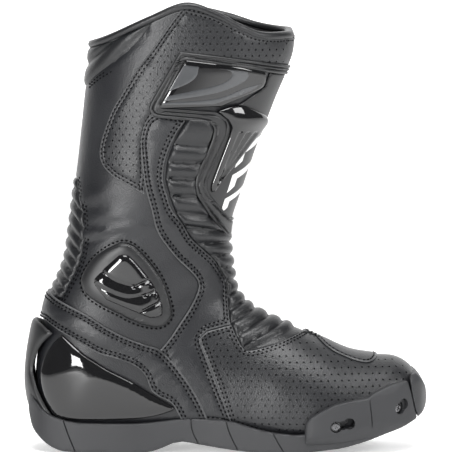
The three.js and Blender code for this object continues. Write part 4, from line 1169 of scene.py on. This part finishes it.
rounded(sole, 1.4, 4)
cut(sole, core("last", -0.3))
SIDE_GROOVES = (
    [(-126, 30), (-121, 15), (-114, -2)], [(-26.7, 30), (-25.5, 18), (-21, 8), (-17, 0)],
    [(-0.5, 28), (4, 14), (12.5, -3)], [(34.6, 20), (39, 11), (48, -4)],
)
for line in SIDE_GROOVES:
    path = through(line, 3)
    side_step = np.array([0.55, 0])
    loop = np.vstack([path - side_step, (path + side_step)[::-1]])
    groove = slab("groove", loop, -90, 90, "Y")
    inner_plan = sole_plan * np.array([0.975, 0.965])
    cut(groove, slab("plan", inner_plan, -20, 90, "Z"))
    cut(sole, groove)
TREAD_BARS = 22
TREAD_PITCH = 13
TREAD_DEPTH = 2.6
ARCH = (-52, 6)  # the raised waist, which has no tread
UNDERSIDE_X = [-62, -33, 10, 37, 58, 77, 90, 109, 122, 135]
UNDERSIDE_Z = [0, 8.6, 2, 0, 0.5, 2.8, 4.6, 9.8, 14.3, 18.8]
for k in range(TREAD_BARS):
    x = -140 + k * TREAD_PITCH
    if ARCH[0] < x < ARCH[1]:
        continue
    rise = np.interp(x, UNDERSIDE_X, UNDERSIDE_Z)
    chevron = [(x, -70), (x + 4, 0), (x, 70), (x + 3.4, 70), (x + 7.4, 0), (x + 3.4, -70)]
    tread = slab("tread", chevron, -4, rise + TREAD_DEPTH, "Z")
    cut(tread, slab("plan", sole_plan * np.array([0.97, 0.86]), -20, 60, "Z"), "INTERSECT")
    cut(sole, tread)
smooth(sole, 40)
put(sole, rubber, "sole_rubber", "foot", "outsole")

# --- Toe slider and bumper --------------------------------------------------------------
# A hard rubber scraper block is held to the outer edge of the toe by two cross-head screws in
# sunk slots. A rubber cap closes the tip of the toe.
slider_side = sketch(
    (62, 1.5), [(61, 9), (60.5, 19), (61.6, 24.8), (64.2, 27.9), (73.8, 33.6), (83.5, 38.1), (96.3, 41.1),
    (109, 43.2)], [(112, 45.8), (118.8, 49.1), (128.4, 52.9), (139.9, 54.5)], (142.8, 45.2), (145.4, 33.6),
    (147.4, 27), (147.4, 25.2), (134.9, 18.8), (109, 9.8), (77, 2.8), step=3,
)
slider_plan = sketch(
    (60, -30), (60, -53), [(66, -57), (90, -56.5), (112, -52.5), (130, -44.5), (142, -35), (150, -24)],
    (150, -8), step=3,
)
SCREWS = (
    ("rear", 84.4, 21.4, (10.2, 2.6), 0.08, -56.6),
    ("front", 133.8, 34.2, (4.6, 3.2), 0.66, -41.9),
)
SLOT_RADIUS, SLOT_DEPTH = 4.4, 6.0
block = slab("toe_slider", slider_side, -90, 0, "Y")
cut(block, slab("plan", slider_plan, -5, 80, "Z"), "INTERSECT")
cut(block, core("round", 10.5, high=8, steps=34), "INTERSECT")
rounded(block, 0.9, 9)
cut(block, core("last", 0.2, high=8, steps=34))
cut(block, slab("plan", sole_plan, -5, 27, "Z"))


def peg(radius, x, z, facing, skin, deep, high, sides=28):
    """A cylinder let into the slider, square to its face."""
    away = np.array([math.sin(facing), -math.cos(facing), 0])
    centre = np.array([x, skin, z]) + away * (high - deep) / 2
    bpy.ops.mesh.primitive_cylinder_add(
        vertices=sides, radius=radius * MM, depth=(high + deep) * MM, location=centre * MM,
        rotation=(math.pi / 2, 0, facing),
    )
    tool = bpy.context.object
    bpy.ops.object.transform_apply(location=True, rotation=True, scale=True)
    return tool


for name, x, z, lobe, facing, skin in SCREWS:
    for share, radius in ((0, SLOT_RADIUS), (1, SLOT_RADIUS), (0.5, SLOT_RADIUS * 0.8)):
        cut(block, peg(radius, x + lobe[0] * share, z + lobe[1] * share, facing, skin, SLOT_DEPTH, 12))
parting = through([(111, 46), (110.4, 40), (111.8, 27), (112.4, 10)], 3)
loop = np.vstack([parting - (0.4, 0), (parting + (0.4, 0))[::-1]])
groove = slab("groove", loop, -90, 0, "Y")
cut(groove, slab("plan", slider_plan - np.array([0.6, -0.9]), -20, 90, "Z"))
cut(block, groove)
smooth(block, 40)
put(block, rubber, "slider_rubber", "foot", "toe_slider")

screw_steel, screw_shader = material("dark_chrome_screw", (0.14, 0.14, 0.145), 0.22, 1.0)
scuffed(screw_steel, screw_shader, 500.0, 0.15, 0.35)
for name, x, z, lobe, facing, skin in SCREWS:
    head = peg(3.3, x, z, facing, skin, SLOT_DEPTH, -2.4)
    modify(head, "BEVEL", width=0.5 * MM, segments=2, limit_method="ANGLE", angle_limit=math.radians(50))
    for turn in (0, math.pi / 2):
        bpy.ops.mesh.primitive_cube_add(size=1)
        blade = bpy.context.object
        blade.scale = (3.6 * MM, 2.4 * MM, 0.9 * MM)
        blade.rotation_euler = (0, turn + 0.4, facing)
        away = Vector((math.sin(facing), -math.cos(facing), 0))
        blade.location = Vector((x, skin, z)) * MM + away * -2.4 * MM
        bpy.ops.object.transform_apply(location=True, rotation=True, scale=True)
        cut(head, blade)
    head.name = f"slider-screw-{name}"
    smooth(head, 40)
    put(head, screw_steel, "screw_steel", "foot", f"slider_screw_{name}")

bumper_side = sketch(
    (141.6, 56.5), [(143, 59.3), (146.4, 60), (151.5, 54.8), (155, 47.7), (156.1, 38.8), (154.8, 32.9),
    (151, 27.9), (148, 26)], (147.8, 27.5), (145.8, 33.8), (143.3, 45.3), step=3,
)
bumper_plan = sketch(
    (136, -38), [(143, -34), (151, -23), (155, -8), (156.2, 5), (155, 20), (150, 32), (143, 41),
    (136, 46)], step=3,
)
tip = slab("toe_bumper", bumper_side, -90, 90, "Y")
cut(tip, slab("plan", bumper_plan, -5, 90, "Z"), "INTERSECT")
cut(tip, core("round", 8.0, high=4, steps=18), "INTERSECT")
rounded(tip, 0.8, 8)
cut(tip, core("last", 0.2, high=3, steps=14))
smooth(tip, 50)
put(tip, rubber, "slider_rubber", "foot", "toe_bumper")

# --- Inside and hidden parts ------------------------------------------------------------
# The lining is three tubes of mesh cloth, with padding round the shaft, and shows at the
# mouth. The other parts are closed in or small, and keep their plain shapes.
def cloth(name, color, scale=420.0):
    made, shader = material(name, color, 0.85)
    where = on_piece(made)
    cells = node(made, "ShaderNodeTexVoronoi", {"Vector": where, "Scale": scale})
    tone, _ = mottled(made, where, color, 0.15, 60.0)
    made.node_tree.links.new(tone, shader.inputs["Base Color"])
    bumped(made, shader, (cells.outputs["Distance"],), (0.0006,), (0.7,))
    return made


mesh_cloth = cloth("lining_mesh", (0.022, 0.022, 0.024))
foam = cloth("grey_foam", (0.10, 0.10, 0.11), 900.0)
AROUND = 72
turns = np.arange(AROUND) * 2 * math.pi / AROUND - math.pi
mouth = np.interp(turns, ring[:, 1], ring[:, 0], period=2 * math.pi)
HEEL_TOP, ANKLE_TOP = 12.0, 19.0  # the sections where the three linings are sewn together


def sock(name, low, high, lift, thick, rows=26):
    """A tube of cloth inside the leather, from one section of the last to another."""
    levels = low + (high - low) * np.linspace(0, 1, rows)[:, None] + 0 * turns
    places = np.stack([levels, np.broadcast_to(turns, levels.shape)], -1)
    faces = []
    for i in range(rows - 1):
        for j in range(AROUND):
            a, b = i * AROUND + j, i * AROUND + (j + 1) % AROUND
            faces.append((a, b, b + AROUND, a + AROUND))
    obj = mesh_object(name, lifted(places.reshape(-1, 2), lift), faces)
    modify(obj, "SOLIDIFY", thickness=thick * MM, offset=-1)
    smooth(obj, 60)
    return obj


for name, low, high in (
    ("foot_lining", -0.95, HEEL_TOP),
    ("ankle_lining", HEEL_TOP, ANKLE_TOP),
    ("shaft_lining", ANKLE_TOP, mouth),
):
    put(sock(f"{name}_tube", low, high, -4.0, 1.2), mesh_cloth, "lining_mesh", None, name)
put(sock("shaft_padding_tube", ANKLE_TOP, mouth, -2.5, 1.2), foam, "foam", None, "shaft_padding")
hidden = {
    mesh_cloth: ("footbed", "zip_gusset"),
    foam: ("insole_foam",),
    cloth("fibre_board", (0.30, 0.22, 0.14), 700.0): ("insole_board",),
    cloth("stiffener", (0.16, 0.15, 0.14), 700.0): ("toe_puff", "heel_counter"),
    cloth("loop_pile", (0.018, 0.018, 0.02), 1200.0): ("loop_patch", "hook_patch"),
    screw_steel: ("shank", "screw_insert_rear", "screw_insert_front"),
    zip_metal: ("zip_slider", "zip_pull", "zip_stop"),
}
for finish, nodes in hidden.items():
    for name in nodes:
        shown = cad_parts[name]
        shown.data.materials.clear()
        shown.data.materials.append(finish)

# --- Studio -----------------------------------------------------------------------------
# A pale floor that rises to a white wall, large soft lamps, and a long lens level with the
# shaft, seen from the outer side.
STUDIO_SIZE = 24


def backdrop(name, glow, location, rotation=(0, 0, 0)):
    """A large white sheet that glows a little."""
    finish, shader = material(f"{name}_white", (0.9, 0.9, 0.9), 0.7)
    shader.inputs["Emission Color"].default_value = (1, 1, 1, 1)
    shader.inputs["Emission Strength"].default_value = glow
    bpy.ops.mesh.primitive_plane_add(size=STUDIO_SIZE, location=location, rotation=rotation)
    sheet = bpy.context.object
    sheet.name = name
    sheet.data.materials.append(finish)
    return sheet


floor = backdrop("floor", 0.42, (0, 0, -0.0002))
wall = backdrop("wall", 0.95, (0, 9, 11), (math.pi / 2, 0, 0))
world = bpy.data.worlds.new("studio")
bpy.context.scene.world = world
world.use_nodes = True
sky = world.node_tree.nodes["Background"]
sky.inputs["Color"].default_value = (1, 1, 1, 1)
sky.inputs["Strength"].default_value = 0.15
for name, place, size, power in (
    ("key", (-0.95, -1.75, 0.42), 0.55, 27),
    ("front", (1.6, -1.0, 1.1), 0.8, 22),
    ("top", (0.1, -0.7, 1.9), 1.2, 44),
):
    lamp = bpy.data.lights.new(name, "AREA")
    lamp.energy = power
    lamp.size = size
    holder = bpy.data.objects.new(name, lamp)
    holder.location = place
    holder.rotation_euler = (Vector((0, 0, 0.15)) - Vector(place)).to_track_quat("-Z", "Y").to_euler()
    bpy.context.collection.objects.link(holder)

RISE = math.radians(3.2)
DISTANCE = 3.0
SPAN = 0.3503
lens = bpy.data.cameras.new("camera")
lens.sensor_width = 36
lens.lens = 36 * DISTANCE / SPAN
camera = bpy.data.objects.new("camera", lens)
target = Vector((0.0004, 0, 0.172))
camera.location = target + Vector((0, -math.cos(RISE), math.sin(RISE))) * DISTANCE
camera.rotation_euler = (math.pi / 2 - RISE, 0, 0)
bpy.context.collection.objects.link(camera)
bpy.context.scene.camera = camera
bpy.context.scene.view_settings.view_transform = "Standard"
